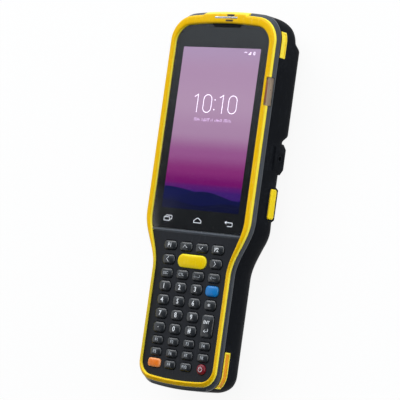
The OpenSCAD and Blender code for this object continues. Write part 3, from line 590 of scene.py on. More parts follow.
# %% Sensors
# Each slot: middle, width, height, depth of what lies in it.
SENSOR_SLOTS = [((4.4, 105.55), 5.4, 1.1, 0.5), ((1.3, 104.2), 16.4, 0.95, 0.05),
                ((3.8, 102.5), 5.4, 0.95, 0.25)]
carve(bumper, *[prism("cut", rounded(w + 0.2, h + 0.2, 0.4, centre=at), "Z", SLOT_FLOOR, RIM_TOP + 1)
                for at, w, h, depth in SENSOR_SLOTS])
dress(bumper, "yellow_bumper", "bumper_frame", angle=30)
windows = [soften(prism("sensor", rounded(w, h, 0.35, centre=at), "Z", SLOT_FLOOR, RIM_TOP - depth), 0.06)
           for at, w, h, depth in SENSOR_SLOTS]

# %% [markdown]
# ## Metals, glass and the lit picture
# The remaining finishes differ from moulded plastic in kind. Steel and cast metal have a grain that
# runs one way. Clear parts let light through, and need a shader that also lets lamps through, so that
# what lies under them isn't black. The picture shines by itself.

# %% Metal


def metal(name, colour, gloss, grain, stretch, depth):
    """A metal whose grain is stretched along Y."""
    base = tint(colour)
    tree, surface = new_material(name, base)
    here = node(tree, "ShaderNodeMapping", {"Vector": place_of(tree), "Scale": (1.0, stretch, 1.0)})
    lines = noise(tree, here, grain, 4.0, 0.6)
    marks = use_group(tree, "Handling Marks", {"Film Size": 120.0, "Scratch Size": 1200.0})
    feed(tree, surface, {
        "Base Color": mix(tree, spread(tree, lines, 0.3, 0.7), base, tuple(c * 0.7 for c in base)),
        "Roughness": spread(tree, marks["Film"], 0.0, 1.0, gloss, gloss - 0.12),
        "Normal": bump(tree, lines, depth, 0.4), "Metallic": 1.0})


for name, *values in (("screw_steel", "#8A8C8F", 0.38, 3000, 0.2, 0.01),
                      ("bright_metal", "#D9DBDE", 0.25, 3000, 0.1, 0.01),
                      ("cast_chassis", "#A6A9AC", 0.55, 1500, 1.0, 0.03)):
    metal(name, *values)
print("metals ready")

# %% Clear parts


def set_output(tree, shader):
    feed(tree, tree.nodes["Material Output"], {"Surface": shader})


def clear(name, code, gloss, index, smear):
    """A clear part. Shadow rays pass it, so that lamps light what is under it."""
    colour = tint(code)
    tree, surface = new_material(name, colour)
    marks = use_group(tree, "Handling Marks", {"Film Size": 45.0, "Scratch Size": 700.0})
    feed(tree, surface, {"Base Color": colour, "Transmission Weight": 1.0, "IOR": index,
                         "Roughness": spread(tree, marks["Film"], 0.0, 1.0, gloss, gloss + smear)})
    shadow = tree.nodes.new("ShaderNodeLightPath").outputs["Is Shadow Ray"]
    through = node(tree, "ShaderNodeBsdfTransparent", {"Color": colour})
    set_output(tree, mix_shaders(tree, shadow, surface, through))


clear("cover_glass", "#F4F6F8", 0.015, 1.45, 0.05)
clear("smoke_lens", "#D9CCBE", 0.25, 1.4, 0.1)
clear("red_window", "#7A1420", 0.03, 1.5, 0.05)
for window, finish in zip(windows, ("dark_window", "bright_metal", "brown_window")):
    paint(window, finish)
dress(join(*windows, name="sensors"), "module_black")
print("clear parts ready")

# %% [markdown]
# The display shows a sky that runs from mauve to magenta, over dark hills. The picture could be an
# image, but a ramp for the sky and three sine waves for the hills need no file, and they stay crisp.
# Each wave is a height that changes across the picture, and a colour where the picture lies below it.

# %% Display picture
PICTURE_Y, PICTURE_W, PICTURE_H = 40.25, 56.2, 93.6
SKY = [(0.0, "#2A1268"), (0.11, "#3E1872"), (0.14, "#5A1472"), (0.17, "#78066A"), (0.24, "#8C2878"),
       (0.35, "#9E5692"), (0.48, "#B48BAF"), (0.65, "#BC98B8"), (0.85, "#B892B5"), (1.0, "#B697BB")]
# Each wave: height, swing, turns, start, colour.
HILLS = [(0.105, 0.030, 3.4, 1.6, "#060C4C"), (0.090, 0.025, 6.0, -1.6, "#040A44"),
         (0.040, 0.012, 8.0, 1.0, "#030732")]
tree, surface = new_material("display", tint("#8A5C90"))
split = node(tree, "ShaderNodeSeparateXYZ", {0: place_of(tree)}).outputs
across = spread(tree, split["X"], -PICTURE_W / 2 * MM, PICTURE_W / 2 * MM)
upward = spread(tree, split["Y"], (PICTURE_Y - PICTURE_H / 2) * MM, (PICTURE_Y + PICTURE_H / 2) * MM)
sky = node(tree, "ShaderNodeValToRGB", {0: upward})
sky.color_ramp.interpolation = "EASE"
ramp = sky.color_ramp.elements
while len(ramp) < len(SKY):
    ramp.new(0.5)
for stop, (at, code) in zip(ramp, SKY):
    stop.position, stop.color = at, tint(code)
view = sky.outputs[0]
for level, swing, turns, start, code in HILLS:
    angle = maths(tree, "ADD", maths(tree, "MULTIPLY", across, turns), start)
    crest = maths(tree, "ADD", maths(tree, "MULTIPLY", maths(tree, "SINE", angle), swing), level)
    below = spread(tree, maths(tree, "SUBTRACT", crest, upward), -0.003, 0.003)
    view = mix(tree, below, view, tint(code))
grid = noise(tree, place_of(tree), 9000.0, 0.0)
feed(tree, surface, {
    "Emission Color": mix(tree, spread(tree, grid, 0.45, 0.55, 0.0, 0.04), view, tint("#000000")),
    "Emission Strength": 1.0, "Base Color": tint("#050506"), "Specular IOR Level": 0.03,
    "Roughness": spread(tree, grid, 0.0, 1.0, 0.3, 0.4)})

# %% Inks


def glowing(name, code, strength):
    """Marks that glow by themselves. On the screen the glow is the display's own light. On the printed key
    legends and touch marks it is a painted glow that keeps them bright.
    """
    tree, surface = new_material(name, tint(code))
    fleck = noise(tree, place_of(tree), 4000.0, 2.0)
    shade = mix(tree, spread(tree, fleck, 0.4, 0.8, 0.0, 0.15), tint(code), tint("#9A9A9A"))
    feed(tree, surface, {"Base Color": shade, "Emission Color": shade, "Emission Strength": strength,
                         "Roughness": spread(tree, fleck, 0.0, 1.0, 0.45, 0.6)})


# lit_mark and dim_mark are lit by the display. key_ink, faint_ink and touch_ink are print with a painted
# glow.
for name, code, strength in (("lit_mark", "#F8E8FA", 0.8), ("dim_mark", "#C8A8CC", 0.7),
                             ("key_ink", "#E6EAEE", 0.08), ("faint_ink", "#B0B6BC", 0.06),
                             ("touch_ink", "#E0E2E6", 0.46)):
    glowing(name, code, strength)
print("picture and inks ready")

# %% [markdown]
# ## Strokes
# Icons, arrows and the clock's digits are drawn as strokes of even width, as a pen plotter would. A
# curve with a bevel would give round tubes, and these have to be flat, so each stroke is a ribbon with
# mitred bends and a disc at each end.

# %% Stroke tools
DISC_STEPS = 12


def ribbon(points, width, closed=False):
    """The two edges of a stroke along some points."""
    n = len(points)
    left, right_edge = [], []
    for i, (x, y) in enumerate(points):
        before = points[i - 1] if i or closed else None
        after = points[(i + 1) % n] if i < n - 1 or closed else None
        turns = []
        for a, b in ((before, (x, y)), ((x, y), after)):
            if a and b:
                size = math.hypot(b[0] - a[0], b[1] - a[1]) or 1.0
                turns.append(((b[0] - a[0]) / size, (b[1] - a[1]) / size))
        tx, ty = sum(t[0] for t in turns), sum(t[1] for t in turns)
        size = math.hypot(tx, ty) or 1.0
        nx, ny = -ty / size, tx / size
        reach = width / 2 / max(0.5, nx * -turns[0][1] + ny * turns[0][0])
        left.append((x + nx * reach, y + ny * reach))
        right_edge.append((x - nx * reach, y - ny * reach))
    return left, right_edge


def arc(cx, cy, rx, ry, start, end, steps=16):
    """Points along an ellipse, between two angles in degrees."""
    angles = [math.radians(start + (end - start) * i / steps) for i in range(steps + 1)]
    return [(cx + rx * math.cos(a), cy + ry * math.sin(a)) for a in angles]


def strokes(name, paths, width, centre, level, height=0.03):
    """Flat ribbons along paths. A path is a list of points, or (points, True) where it closes."""
    points, faces = [], []
    for path in paths:
        closed = isinstance(path, tuple)
        line = path[0] if closed else path
        n, start = len(line), len(points)
        for edge in ribbon(line, width, closed):
            for z in (level, level + height):
                points += [(centre[0] + x, centre[1] + y, z) for x, y in edge]
        a, b, c, d = (start + k * n for k in range(4))
        for i in range(n if closed else n - 1):
            j = (i + 1) % n
            faces += [(b + i, b + j, d + j, d + i), (a + i, c + i, c + j, a + j),
                      (a + i, a + j, b + j, b + i), (c + i, d + i, d + j, c + j)]
        if not closed:
            faces += [(a + i, b + i, d + i, c + i) for i in (0, n - 1)]
            for x, y in (line[0], line[-1]):
                faces.append(tuple(range(len(points), len(points) + DISC_STEPS)))
                disc = circle(width / 2, (centre[0] + x, centre[1] + y), DISC_STEPS)
                points += [(px, py, level + height) for px, py in disc]
    return raw_mesh(name, points, faces)


print("a quarter circle has", len(arc(0, 0, 1, 1, 0, 90)), "points")

# %% [markdown]
# ## The front case
# The front case has two parts that show: the band of its side wall, which leans in from the seam up to
# the bumper, and the keypad face inside the ring. The band is a skin between outlines. The face is a
# plate with 38 holes, and the quickest clean way to such a plate is a flat curve with one spline for
# each edge, which Blender fills, thickens and bevels by itself.

# %% Side band
BAND_ROWS = [(housing(2.0), 24.0), (housing(0.35), 23.95), (housing(0.1), 24.02), (housing(0), 24.2),
             (housing(0), 24.9), (housing(0.05), 25.1), (housing(0.14), 25.4), (RIM_OUT, 26.95),
             (shrink(RIM_OUT, 0.12), 27.12), (shrink(RIM_OUT, 0.6), 27.14), (shrink(RIM_OUT, 0.62), 27.58),
             (shrink(RIM_IN, -0.4), 27.55), (shrink(RIM_IN, -0.4), 26.6), (shrink(RIM_IN, -2.2), 26.4)]
# Behind the bumper's tab the band steps back by SINK, over the last few millimetres before the end.
SINK, SINK_FROM, SINK_OVER = 1.3, 103.5, 2.5
plain = outline(housing(0))
rows = []
for shape, z in BAND_ROWS:
    row = []
    for (x, y), (px, py) in zip(outline(shape), plain):
        behind = tab_share(px * 24.5 / 23.2 * 0.95, py)
        row.append((x, y - SINK * (behind * min(1.0, max(0.0, (y - SINK_FROM) / SINK_OVER))), z))
    rows.append(row)
band = carve(skin("front_band", rows, ring=True), block("cut", *LENS_GAP))

# %% Keys and their places
COL_PITCH = 11.49
ROW_Y = [-67.94, -76.05, -83.98, -91.37, -99.27, -107.14, -115.08, -122.35, -129.03, -135.42]
KEY_SIZES = {"top": (9, 5.2, 1.9), "arrow": (8.8, 5.6, 2.2), "type": (8.6, 5.4, 2), "digit": (8.4, 5.9, 2.3),
             "f": (8, 4.6, 1.6), "scan": (20.5, 7.6, 3.7), "blue": (9, 6, 2.2), "enter": (8.6, 12.8, 2),
             "orange": (9, 5, 1.8), "power": (6.2, 5.8, 2.9)}
# Each row: the size of its keys and their names. A key with a size of its own has it under its name.
KEY_ROWS = [("top", "p1 up down p2"), ("arrow", "left scan right"), ("type", "esc shift space backspace"),
            ("digit", "1 2 3 blue"), ("digit", "4 5 6 star"), ("digit", "7 8 9 enter"),
            ("digit", "point 0 hash"), ("f", "f1 f2 f3 f4"), ("f", "f5 f6 f7 f8"),
            ("f", "orange f9 f10 power")]
ODD_PLACES = {"scan": (1.5, 1), "right": (3, 1), "enter": (3, 5.5)}
LEGENDS = {"esc": "ESC", "shift": "CTL", "star": "*", "enter": "ENT", "point": ".", "hash": "#"}
# Each key: name, column, row, size, legend.
KEYS = []
for row, (size, names) in enumerate(KEY_ROWS):
    for column, name in enumerate(names.split()):
        legend = name.upper() if name[-1].isdigit() else LEGENDS.get(name)
        at, own_size = ODD_PLACES.get(name, (column, row)), name if name in KEY_SIZES else size
        KEYS.append((name, *at, own_size, legend))
print("keys", len(KEYS))


def key_place(column, row):
    low, high = ROW_Y[math.floor(row)], ROW_Y[math.ceil(row)]
    return (column - 1.5) * COL_PITCH, PICTURE_Y + (low + high) / 2


# %% Keypad face
Z_PLATE, Z_DECK, GLASS_Y, KEY_GAP = 28.2, 26.5, -18.45, 0.3


def plate(name, edges, low, high, bevel):
    """A flat plate with holes, from closed edges. Its rims are rounded."""
    curve = bpy.data.curves.new(name, "CURVE")
    curve.dimensions, curve.fill_mode = "2D", "BOTH"
    for edge in edges:
        spline = curve.splines.new("POLY")
        spline.points.add(len(edge) - 1)
        for point, (x, y) in zip(spline.points, edge):
            point.co = (x * MM, y * MM, 0, 1)
        spline.use_cyclic_u = True
    curve.extrude = ((high - low) / 2 - bevel) * MM
    curve.bevel_depth, curve.bevel_resolution, curve.offset = bevel * MM, 2, -bevel * MM
    mesh = curve_mesh(name, curve)
    mesh.transform(Matrix.Translation((0, 0, (low + high) / 2 * MM)))
    return placed(name, mesh)


face_edge = [p for p in outline(shrink(RIM_IN, -0.1)) if p[1] < GLASS_Y - 1.8]
x_seam = max(p[0] for p in face_edge if p[1] > GLASS_Y - 4)
face_edge.sort(key=lambda p: (p[0] < 0, p[1] if p[0] > 0 else -p[1]))
for x in (x_seam, -x_seam):
    face_edge.insert(sum(1 for p in face_edge if p[0] > 0), (x, GLASS_Y - 1.75))
edges = [face_edge]
for name, column, row, size, legend in KEYS:
    w, h, r = KEY_SIZES[size]
    edges.append(rounded(w + 2 * KEY_GAP, h + 2 * KEY_GAP, r + KEY_GAP, 8, key_place(column, row)))
face = plate("keypad_face", edges, Z_DECK, Z_PLATE, 0.18)
LIP = [(-2.1, 26.8), (-2.1, 27.4), (-1.15, 27.4), (-1.1, 28.4), (-1.0, 28.5), (-0.35, 28.58), (-0.25, 28.45),
       (-0.25, 26.8)]
lip = prism("lip", [(GLASS_Y + y, z) for y, z in LIP], "X", -x_seam - 0.2, x_seam + 0.2)
# The lip catches light on its rounded top, and its lighter grey adds a painted highlight there.
front = join(paint(band, "front_plastic"), paint(face, "plate_plastic"), paint(lip, "trim_plastic"))
dress(front, "front_plastic", "front_housing")

# %% [markdown]
# ## Keys
# A key is a silicone cap with a pillow-shaped top, and its side walls go down through the plate. The
# pillow could be sculpted or subdivided, but a stack of its own outline at shrinking scales gives
# exact control of the crown. The same formula that shapes the crown also tells how high it is under
# each point of a legend, so the printing follows the curve of the cap.

# %% Key shapes
KEY_TOP, KEY_SHOULDER, KEY_BOTTOM = 29.5, 28.62, 26.45
CROWN = [1.0, 0.985, 0.955, 0.91, 0.84, 0.75, 0.64, 0.5, 0.34, 0.16]
PRINT_LIFT, PRINT_EDGE, HALVINGS = 0.025, 0.6, 14


def crown_height(k):
    """Height of a cap where its outline is shrunk to the share k."""
    return KEY_SHOULDER + (KEY_TOP - KEY_SHOULDER) * (1 - k ** 3.2) ** 0.75


def cap(name, column, row, size):
    cx, cy = key_place(column, row)
    shape = rounded(*KEY_SIZES[size], 8)
    rings = [[(cx + x, cy + y, z) for x, y in shape] for z in (KEY_BOTTOM, KEY_SHOULDER - 0.3)]
    rings += [[(cx + x * k, cy + y * k, crown_height(k)) for x, y in shape] for k in CROWN]
    n, last = len(shape), len(rings) - 1
    points = [p for ring in rings for p in ring] + [(cx, cy, KEY_TOP), (cx, cy, KEY_BOTTOM)]
    faces = [face for k in range(last) for face in strip(k * n, (k + 1) * n, n)]
    faces += [(last * n + i, last * n + (i + 1) % n, len(points) - 2) for i in range(n)]
    faces += [((i + 1) % n, i, len(points) - 1) for i in range(n)]
    return mesh_object("cap_" + name, points, faces)


def share_at(x, y, w, h, r):
    """How far out a point lies, as a share of the way to a rounded rectangle's edge."""
    low, high = 0.0, 1.2
    for _ in range(HALVINGS):
        k = (low + high) / 2
        px, py = abs(x) / k, abs(y) / k
        qx, qy = max(px - (w / 2 - r), 0.0), max(py - (h / 2 - r), 0.0)
        inside = px <= w / 2 and py <= h / 2 and math.hypot(qx, qy) <= r
        low, high = (low, k) if inside else (k, high)
    return high


def lay_on_cap(thing, column, row, size):
    """Splits a flat legend into small faces and drops it on the cap's crown."""
    cx, cy = key_place(column, row)
    work = bmesh.new()
    work.from_mesh(thing.data)
    bmesh.ops.triangulate(work, faces=work.faces)
    for _ in range(4):
        long = [e for e in work.edges if e.calc_length() > PRINT_EDGE * MM]
        if not long:
            break
        bmesh.ops.subdivide_edges(work, edges=long, cuts=1)
        bmesh.ops.triangulate(work, faces=work.faces)
    for vertex in work.verts:
        k = share_at(vertex.co.x / MM - cx, vertex.co.y / MM - cy, *KEY_SIZES[size])
        vertex.co.z += (crown_height(min(k, 1.0)) + PRINT_LIFT) * MM
    work.to_mesh(thing.data)
    work.free()
    return thing


def lettering(text, size, centre, squeeze=0.95, weight=0.008):
    """Text as a flat mesh, centred on a point. The font is Blender's own."""
    curve = bpy.data.curves.new("text", "FONT")
    curve.body, curve.size = text, size * MM
    curve.align_x, curve.align_y = "CENTER", "CENTER"
    curve.offset, curve.resolution_u = weight * size * MM, 4
    mesh = curve_mesh("text", curve)
    xs, ys = [v.co.x for v in mesh.vertices], [v.co.y for v in mesh.vertices]
    mid = Vector(((min(xs) + max(xs)) / 2, (min(ys) + max(ys)) / 2, 0))
    for vertex in mesh.vertices:
        off = vertex.co - mid
        vertex.co = (off.x * squeeze + centre[0] * MM, off.y + centre[1] * MM, 0)
    return placed("legend", mesh)


# %% Key legends
CHEVRON = [(-1.3, -0.55), (0, 0.75), (1.3, -0.55)]
SIGNS = {
    "up": [CHEVRON],
    "down": [[(x, -y) for x, y in CHEVRON]],
    "left": [[(-y, x) for x, y in CHEVRON]],
    "right": [[(y, x) for x, y in CHEVRON]],
    "space": [[(-1.9, 0.5), (-1.9, -0.5), (1.9, -0.5), (1.9, 0.5)]],
    "backspace": [[(1.9, 0), (-1.8, 0)], [(-0.9, 0.8), (-1.9, 0), (-0.9, -0.8)]],
    "enter": [[(1.5, -1.5), (1.5, -2.9), (-1.3, -2.9)], [(-0.6, -2.2), (-1.4, -2.9), (-0.6, -3.6)]],
    "power": [arc(0, -0.1, 1.25, 1.25, 125, 415, 24), [(0, 1.5), (0, 0.2)]],
}
KEY_FINISH = {"scan": "yellow_key", "blue": "blue_key", "orange": "orange_key", "power": "red_key"}
TEXT_SIZE = {"digit": 3.9, "top": 3.2, "type": 2.2, "f": 2.5, "enter": 2.5}
for name, column, row, size, legend in KEYS:
    finish = KEY_FINISH.get(name, "dark_key")
    key = paint(cap(name, column, row, size), finish)
    cx, cy = key_place(column, row)
    prints = []
    if legend:
        prints.append(lettering(legend, TEXT_SIZE[size], (cx, cy + (2.2 if name == "enter" else 0))))
    if name in SIGNS:
        prints.append(strokes("sign", SIGNS[name], 0.34, (cx, cy), 0, 0))
    for flat in prints:
        paint(lay_on_cap(flat, column, row, size), "faint_ink" if size in ("f", "type") else "key_ink")
    if prints:
        join(key, *prints)
    dress(key, finish, "key_" + name, body="key_" + name)

# %% [markdown]
# ## The screen
# The screen is a stack: a lit panel, a sheet of cover glass with a black print on its back, and white
# marks for the three touch points below the picture. A single shiny plate would look much the same
# from straight ahead, but only a real sheet over a real panel shows the small shift between the glass
# and the picture when it is seen from the side.

# %% Cover glass
Z_GLASS, Z_PICTURE = 28.6, 27.9
glass_edge = [p for p in outline(shrink(RIM_IN, 0.1)) if p[1] > GLASS_Y + 0.1]
x_seam = max(p[0] for p in glass_edge if p[1] < GLASS_Y + 4)
right_side = [p for p in glass_edge if p[0] > 0]
glass_edge = [(-x_seam, GLASS_Y + 0.12), (x_seam, GLASS_Y + 0.12)] + right_side + mirrored(right_side)
glass = plate("glass_sheet", [glass_edge], Z_PICTURE + 0.1, Z_GLASS, 0.12)
dress(glass, "cover_glass", "display_glass")

# %% Print and picture
window = rounded(PICTURE_W, PICTURE_H, 0.4, 3, (0, PICTURE_Y))
shrunk = [(x * 0.998, y) for x, y in glass_edge]
ink = plate("glass_print", [shrunk, window], Z_PICTURE + 0.03, Z_PICTURE + 0.05, 0.005)
dress(ink, "cover_glass", finish="screen_ink")
picture = soften(block("picture", (-30.4, -8.85, 25.5), (30.4, 89.35, Z_PICTURE)), 0.1)
dress(picture, "display", "display_panel")

# %% Clock, status marks and touch marks
DIGIT_W, DIGIT_H = 5.9, 10.2
ONE, ZERO = [(-1.9, 3.7), (0.5, DIGIT_H / 2), (0.5, -DIGIT_H / 2)], rounded(DIGIT_W, DIGIT_H, 2.9, 10)


def moved(line, shift):
    return [(x + shift, y) for x, y in line]


def lay_marks(name, slot, level, marks):
    """Each mark: its name, paths, width, place and ink. They become one piece."""
    dress(join(*[paint(strokes(kind, paths, width, at, level, 0.02), ink)
                 for kind, paths, width, at, ink in marks], name=name), slot)


clock = [moved(ONE, -13.2), (moved(ZERO, -5.4), True), moved(ONE, 5.2), (moved(ZERO, 12.9), True)]
clock += [(arc(-0.1, y, 0.2, 0.2, 0, 330, 11), True) for y in (2.3, -3.3)]
# The date is too small to read: short upright strokes and bars stand for its letters.
WORD_GAPS = (5, 12, 15, 22)
words = [[(-13.3 + 0.95 * i, -0.7), (-13.3 + 0.95 * i, 0.7 - 0.5 * (i % 3 == 1))]
         for i in range(29) if i not in WORD_GAPS]
words += [[(x, h), (x + 1.6, h)] for x, h in ((-13.3, 0.7), (-11.4, 0.0), (-6.6, -0.7), (-3.8, 0.7),
                                              (3.3, 0.0), (9.0, 0.7))]
status = [[(-2.7, -0.7), (-1.2, 0.7)], [(-1.2, 0.7), (-1.2, -0.7), (-2.7, -0.7)],
          (rounded(0.9, 1.5, 0.15, 2, (1.2, 0)), True), arc(-4.9, -0.7, 1.3, 1.3, 50, 130, 8)]
lay_marks("screen_marks", "display", Z_PICTURE + 0.005, [
    ("clock", clock, 0.42, (0.3, 54.65), "lit_mark"), ("date", words, 0.34, (0.2, 45.3), "dim_mark"),
    ("status", status, 0.3, (22.5, 84.4), "lit_mark")])
recents = [(rounded(4.2, 2.0, 0.4, 4, (-0.8, -0.5)), True),
           [(-1.9, 0.9), (-1.6, 1.4), (-1.2, 1.5), (2.3, 1.5), (2.8, 1.2), (2.8, -0.2), (2.5, -0.6),
            (1.8, -0.7)]]
home = [([(-2.6, -1.3), (2.6, -1.3), (2.6, -0.1), (0.5, 1.3), (-0.5, 1.3), (-2.6, -0.1)], True)]
back_arrow = [[(-2.6, 0.9), (2.2, 0.9), (2.6, 0.5), (2.6, -0.8), (2.2, -1.2), (-0.8, -1.2)],
              [(-1.7, 1.6), (-2.7, 0.9), (-1.7, 0.2)]]
lay_marks("touch_marks", "cover_glass", Z_PICTURE + 0.06, [
    ("mark", paths, 0.35, at, "touch_ink") for paths, at in
    ((recents, (-22.2, -12.35)), (home, (-0.4, -12.35)), (back_arrow, (22.2, -12.75)))])

# %% [markdown]
# The earpiece is a narrow slot at the top of the glass, under a dark woven mesh. Its shape is a low
# trapezoid, and it sits half under the bumper's inner edge.

# %% Earpiece
earpiece = prism("earpiece", [(-9.6, 101.6), (-7.4, 98.9), (11.2, 98.9), (13.4, 101.6)], "Z", 28.5, 28.85)
dress(soften(earpiece, 0.25, 3), "module_black", finish="black_rubber")

# %% [markdown]
# ## The back
# The rear case is deep and soft: its section changes from the slim grip, with big round edges, to the
# head, with tighter ones, and a saddle for the fingers lies between the grip and the hump. Sections
# are laid from the foot to the scanner end and skinned. The wall comes from a second, smaller body
# that is cut out, just as the core of a mould makes the inside.

# %% Rear body
WALL, REAR_TOP, CORE_TOP = 1.8, 23.85, 25.0
SADDLE, GRIP_END, SADDLE_RAMP = 4.4, -22.35, 14.0
HUMP_LO, HUMP_HI, HUMP_RAMP = 42.25, 89.65, 5.0
EDGE_STEPS, EDGE_LEN, GRIP_EDGE_R, HEAD_EDGE_R = 12, 14.0, 14.5, 9.0
TOP_R, FOOT_R, SEAM_R, RAMP_STEPS = 8, 7, 0.3, 12


def back_height(y):
    rise = wave((y - GRIP_END) / SADDLE_RAMP) - wave((y - HUMP_LO + HUMP_RAMP) / HUMP_RAMP)
    return SADDLE * (rise + wave((y - HUMP_HI) / HUMP_RAMP))


def lift(r, reach):
    """How far a rounded end of radius r has risen."""
    return 0.0 if reach <= 0 else r - math.sqrt(max(0.0, r * r - reach * reach))


def rear_section(x, y, d, top):
    """The right half of a section: down the side, round the edge, to the flat of the back."""
    z = back_height(y) + d + lift(TOP_R - d, y - Y_TOP + TOP_R) + lift(FOOT_R - d, Y_FOOT + FOOT_R - y)
    r = GRIP_EDGE_R + (HEAD_EDGE_R - GRIP_EDGE_R) * wave((y - NECK_HI) / EDGE_LEN + 1) - d
    r = min(r, x - 0.2, top - z - 0.5)
    points = [(x, top)]
    if not d:
        points = [(x - SEAM_R, top), (x - SEAM_R * 0.3, top - SEAM_R * 0.3), (x, top - SEAM_R - 0.001)]
    for i in range(EDGE_STEPS + 1):
        a = math.pi / 2 * i / EDGE_STEPS
        points.append((x - r + r * math.cos(a), z + r - r * math.sin(a)))
    return points


def rear_body(name, d, top):
    stations = half_outline(housing(d))
    stops = [start + HUMP_RAMP * i / RAMP_STEPS for start in (HUMP_LO - HUMP_RAMP, HUMP_HI)
             for i in range(RAMP_STEPS + 1)]
    dense = [stations[0]]
    for p, q in zip(stations, stations[1:]):
        inside = sorted(s for s in stops if p[1] + 0.05 < s < q[1] - 0.05)
        dense += [(p[0] + (q[0] - p[0]) * (s - p[1]) / (q[1] - p[1]), s) for s in inside] + [q]
    rows = []
    for x, y in dense:
        side = rear_section(x, y, d, top)
        rows.append([(sx, y, sz) for sx, sz in side + mirrored(side)])
    return skin(name, rows)


rear = rear_body("rear_case", 0, REAR_TOP)
print("rear body faces", len(rear.data.polygons))

# %% [markdown]
# Each side carries two guards: a long one with the scan button in it, and a lug with a hole for the
# strap's pin. They are prisms with ramped ends, softened and then united with the body.

# %% Guards and lugs
TRIGGER_Y, TRIGGER_Z, TRIGGER_L, TRIGGER_H, TRIGGER_X = 1.75, 12.6, 17.0, 5.4, 39.2
EYELET_Y, EYELET_Z = 27.65, 11.9
GUARD_ROOT, GUARD_STEP = 33.0, 2
SIDES = (1, -1)


def raised_block(side, face, y, z, length, height, ramp):
    """A guard on one side of the case, with its face at a distance from the middle."""
    shape = [(GUARD_ROOT, -length / 2), (face - GUARD_STEP, -length / 2), (face, -length / 2 + ramp),
             (face, length / 2 - ramp), (face - GUARD_STEP, length / 2), (GUARD_ROOT, length / 2)]
    rail = prism("guard", [(side * a, y + b) for a, b in shape], "Z", z - height / 2, z + height / 2)
    return soften(rail, 0.4, 3)


guards = [raised_block(s, 38.6, TRIGGER_Y, TRIGGER_Z, TRIGGER_L + 3.2, TRIGGER_H + 3.2, 1.5) for s in SIDES]
guards += [raised_block(s, 39.4, EYELET_Y, EYELET_Z, 17.5, 9.2, 3) for s in SIDES]
unite(rear, *guards)
carve(rear, rear_body("hollow", WALL, CORE_TOP))
print("shell faces", len(rear.data.polygons))

# %% [markdown]
# The battery door is cut from the same shell, so that its surface runs on across the gap. It turns on
# a rounded end that is as wide as the door, and two hooks behind it reach under the case.

# %% Battery door
COVER_HALF, COVER_LO, COVER_HI, COVER_GAP = 22.2, -95.85, -26.35, 0.3
COVER_TOP, HINGE_R, HOOK_X = 11.2, 1.2, 10.0


def barrel(name, gap):
    half = COVER_HALF + gap
    return rod(name, HINGE_R - 0.01 + gap, "X", (COVER_HI, HINGE_R), -half, half, 64)


door = carve(rear_body("battery_door", 0, REAR_TOP), rear_body("hollow", WALL, CORE_TOP))
combine(door, [block("keep", (-COVER_HALF, COVER_LO, -1), (COVER_HALF, COVER_HI, COVER_TOP))], "INTERSECT")
knuckle = combine(rear_body("knuckle", 0, REAR_TOP), [barrel("keep", 0)], "INTERSECT")
hooks = []
for side in SIDES:
    x0, x1 = sorted((side * (HOOK_X - 3), side * (HOOK_X + 3)))
    hooks.append(block("hook", (x0, COVER_HI - 2, 0.9), (x1, COVER_HI + 3, 3.3)))
    carve(hooks[-1], block("cut", (x0 - 1, COVER_HI - 0.1, 0), (x1 + 1, COVER_HI + 4, 1.9)))
unite(door, knuckle, *hooks)
half = COVER_HALF + COVER_GAP
carve(rear, block("cut", (-half, COVER_LO - COVER_GAP, -1), (half, COVER_HI + COVER_GAP, COVER_TOP)),
      block("cut", (-half, COVER_HI, -1), (half, COVER_HI + HINGE_R + COVER_GAP, HINGE_R)),
      barrel("cut", COVER_GAP))
print("door faces", len(door.data.polygons))

# %% [markdown]
# Three shallow grooves across the door give the palm some grip, and a long field between them is left
# a step lower, where such a device has its rating label. Here that field stays bare.

# %% Door grooves
grooves = [prism("groove", rounded(24, 1.2, 0.59, 5, (0, y)), "Z", -1, 0.35) for y in (-87.4, -83.9, -80.4)]
grooves.append(prism("field", rounded(25, 34, 1.5, 6, (0, -53.4)), "Z", -1, 0.25))
soften(carve(door, *grooves), 0.18, 2, 50)
dress(door, "rear_plastic", "battery_cover", body="battery_cover")

# %% [markdown]
# ## Openings in the rear case
# The case gets its openings in one go: button holes, pin holes, the port's recess, the scan window,
# the camera and its lamp, the sound slots, the screw wells and the latch's recess. Each cutter is the
# size of the part that fits there plus its gap.

# %% Inlay shapes
ACCENTS = ((83.25, 98.25), (-104.75, -83.75))
ACCENT_Z = (18.7, 23.45)


def inlay(name, side, low, high, z0, z1, inward, outward):
    """A patch of the case's side, between two places along it."""
    full = half_outline(housing(0))
    line = [p for p in full if low < p[1] < high]
    for end, at in ((0, low), (len(line), high)):
        for p, q in zip(full, full[1:]):
            if p[1] <= at < q[1]:
                t = (at - p[1]) / (q[1] - p[1])
                line.insert(end if end == 0 else len(line), (p[0] + (q[0] - p[0]) * t, at))
    inner_edge, outer_edge = [], []
    for i, (x, y) in enumerate(line):
        p, q = line[max(i - 1, 0)], line[min(i + 1, len(line) - 1)]
        size = math.hypot(q[0] - p[0], q[1] - p[1])
        nx, ny = (q[1] - p[1]) / size, -(q[0] - p[0]) / size
        inner_edge.append((side * (x - nx * inward), y - ny * inward))
        outer_edge.append((side * (x + nx * outward), y + ny * outward))
    return prism(name, inner_edge + outer_edge[::-1], "Z", z0, z1)


# %% Cut the openings
SCREWS = [(s * x, y) for x, y in ((31.5, 93.65), (31.5, -14.35), (12.0, -101.85)) for s in SIDES]
PORT_Y, PORT_L, FLAP_X, FLAP_Z = 66.65, 16.0, -37.6, 16.3
VIEW_Z = 17.5
CAMERA, FLASH, SPEAKER = (-17.0, 75.65), (-8.0, 75.65), (15.0, 56.25)
LATCH_CUTS = [((-5.3, -101.55, -1), (7.1, -95.75, 0.95)), ((-2.1, -100.75, -1), (3.9, -98.75, 2.8)),
              ((3.2, -98.05, -1), (6.8, -95.75, 3.8))]


def view_prism(name, w, h, r, steps, low, high):
    """A rounded plate across the scan window's line of sight."""
    return prism(name, [(b, a) for a, b in rounded(w, h, r, steps, (0, VIEW_Z))], "Y", low, high)


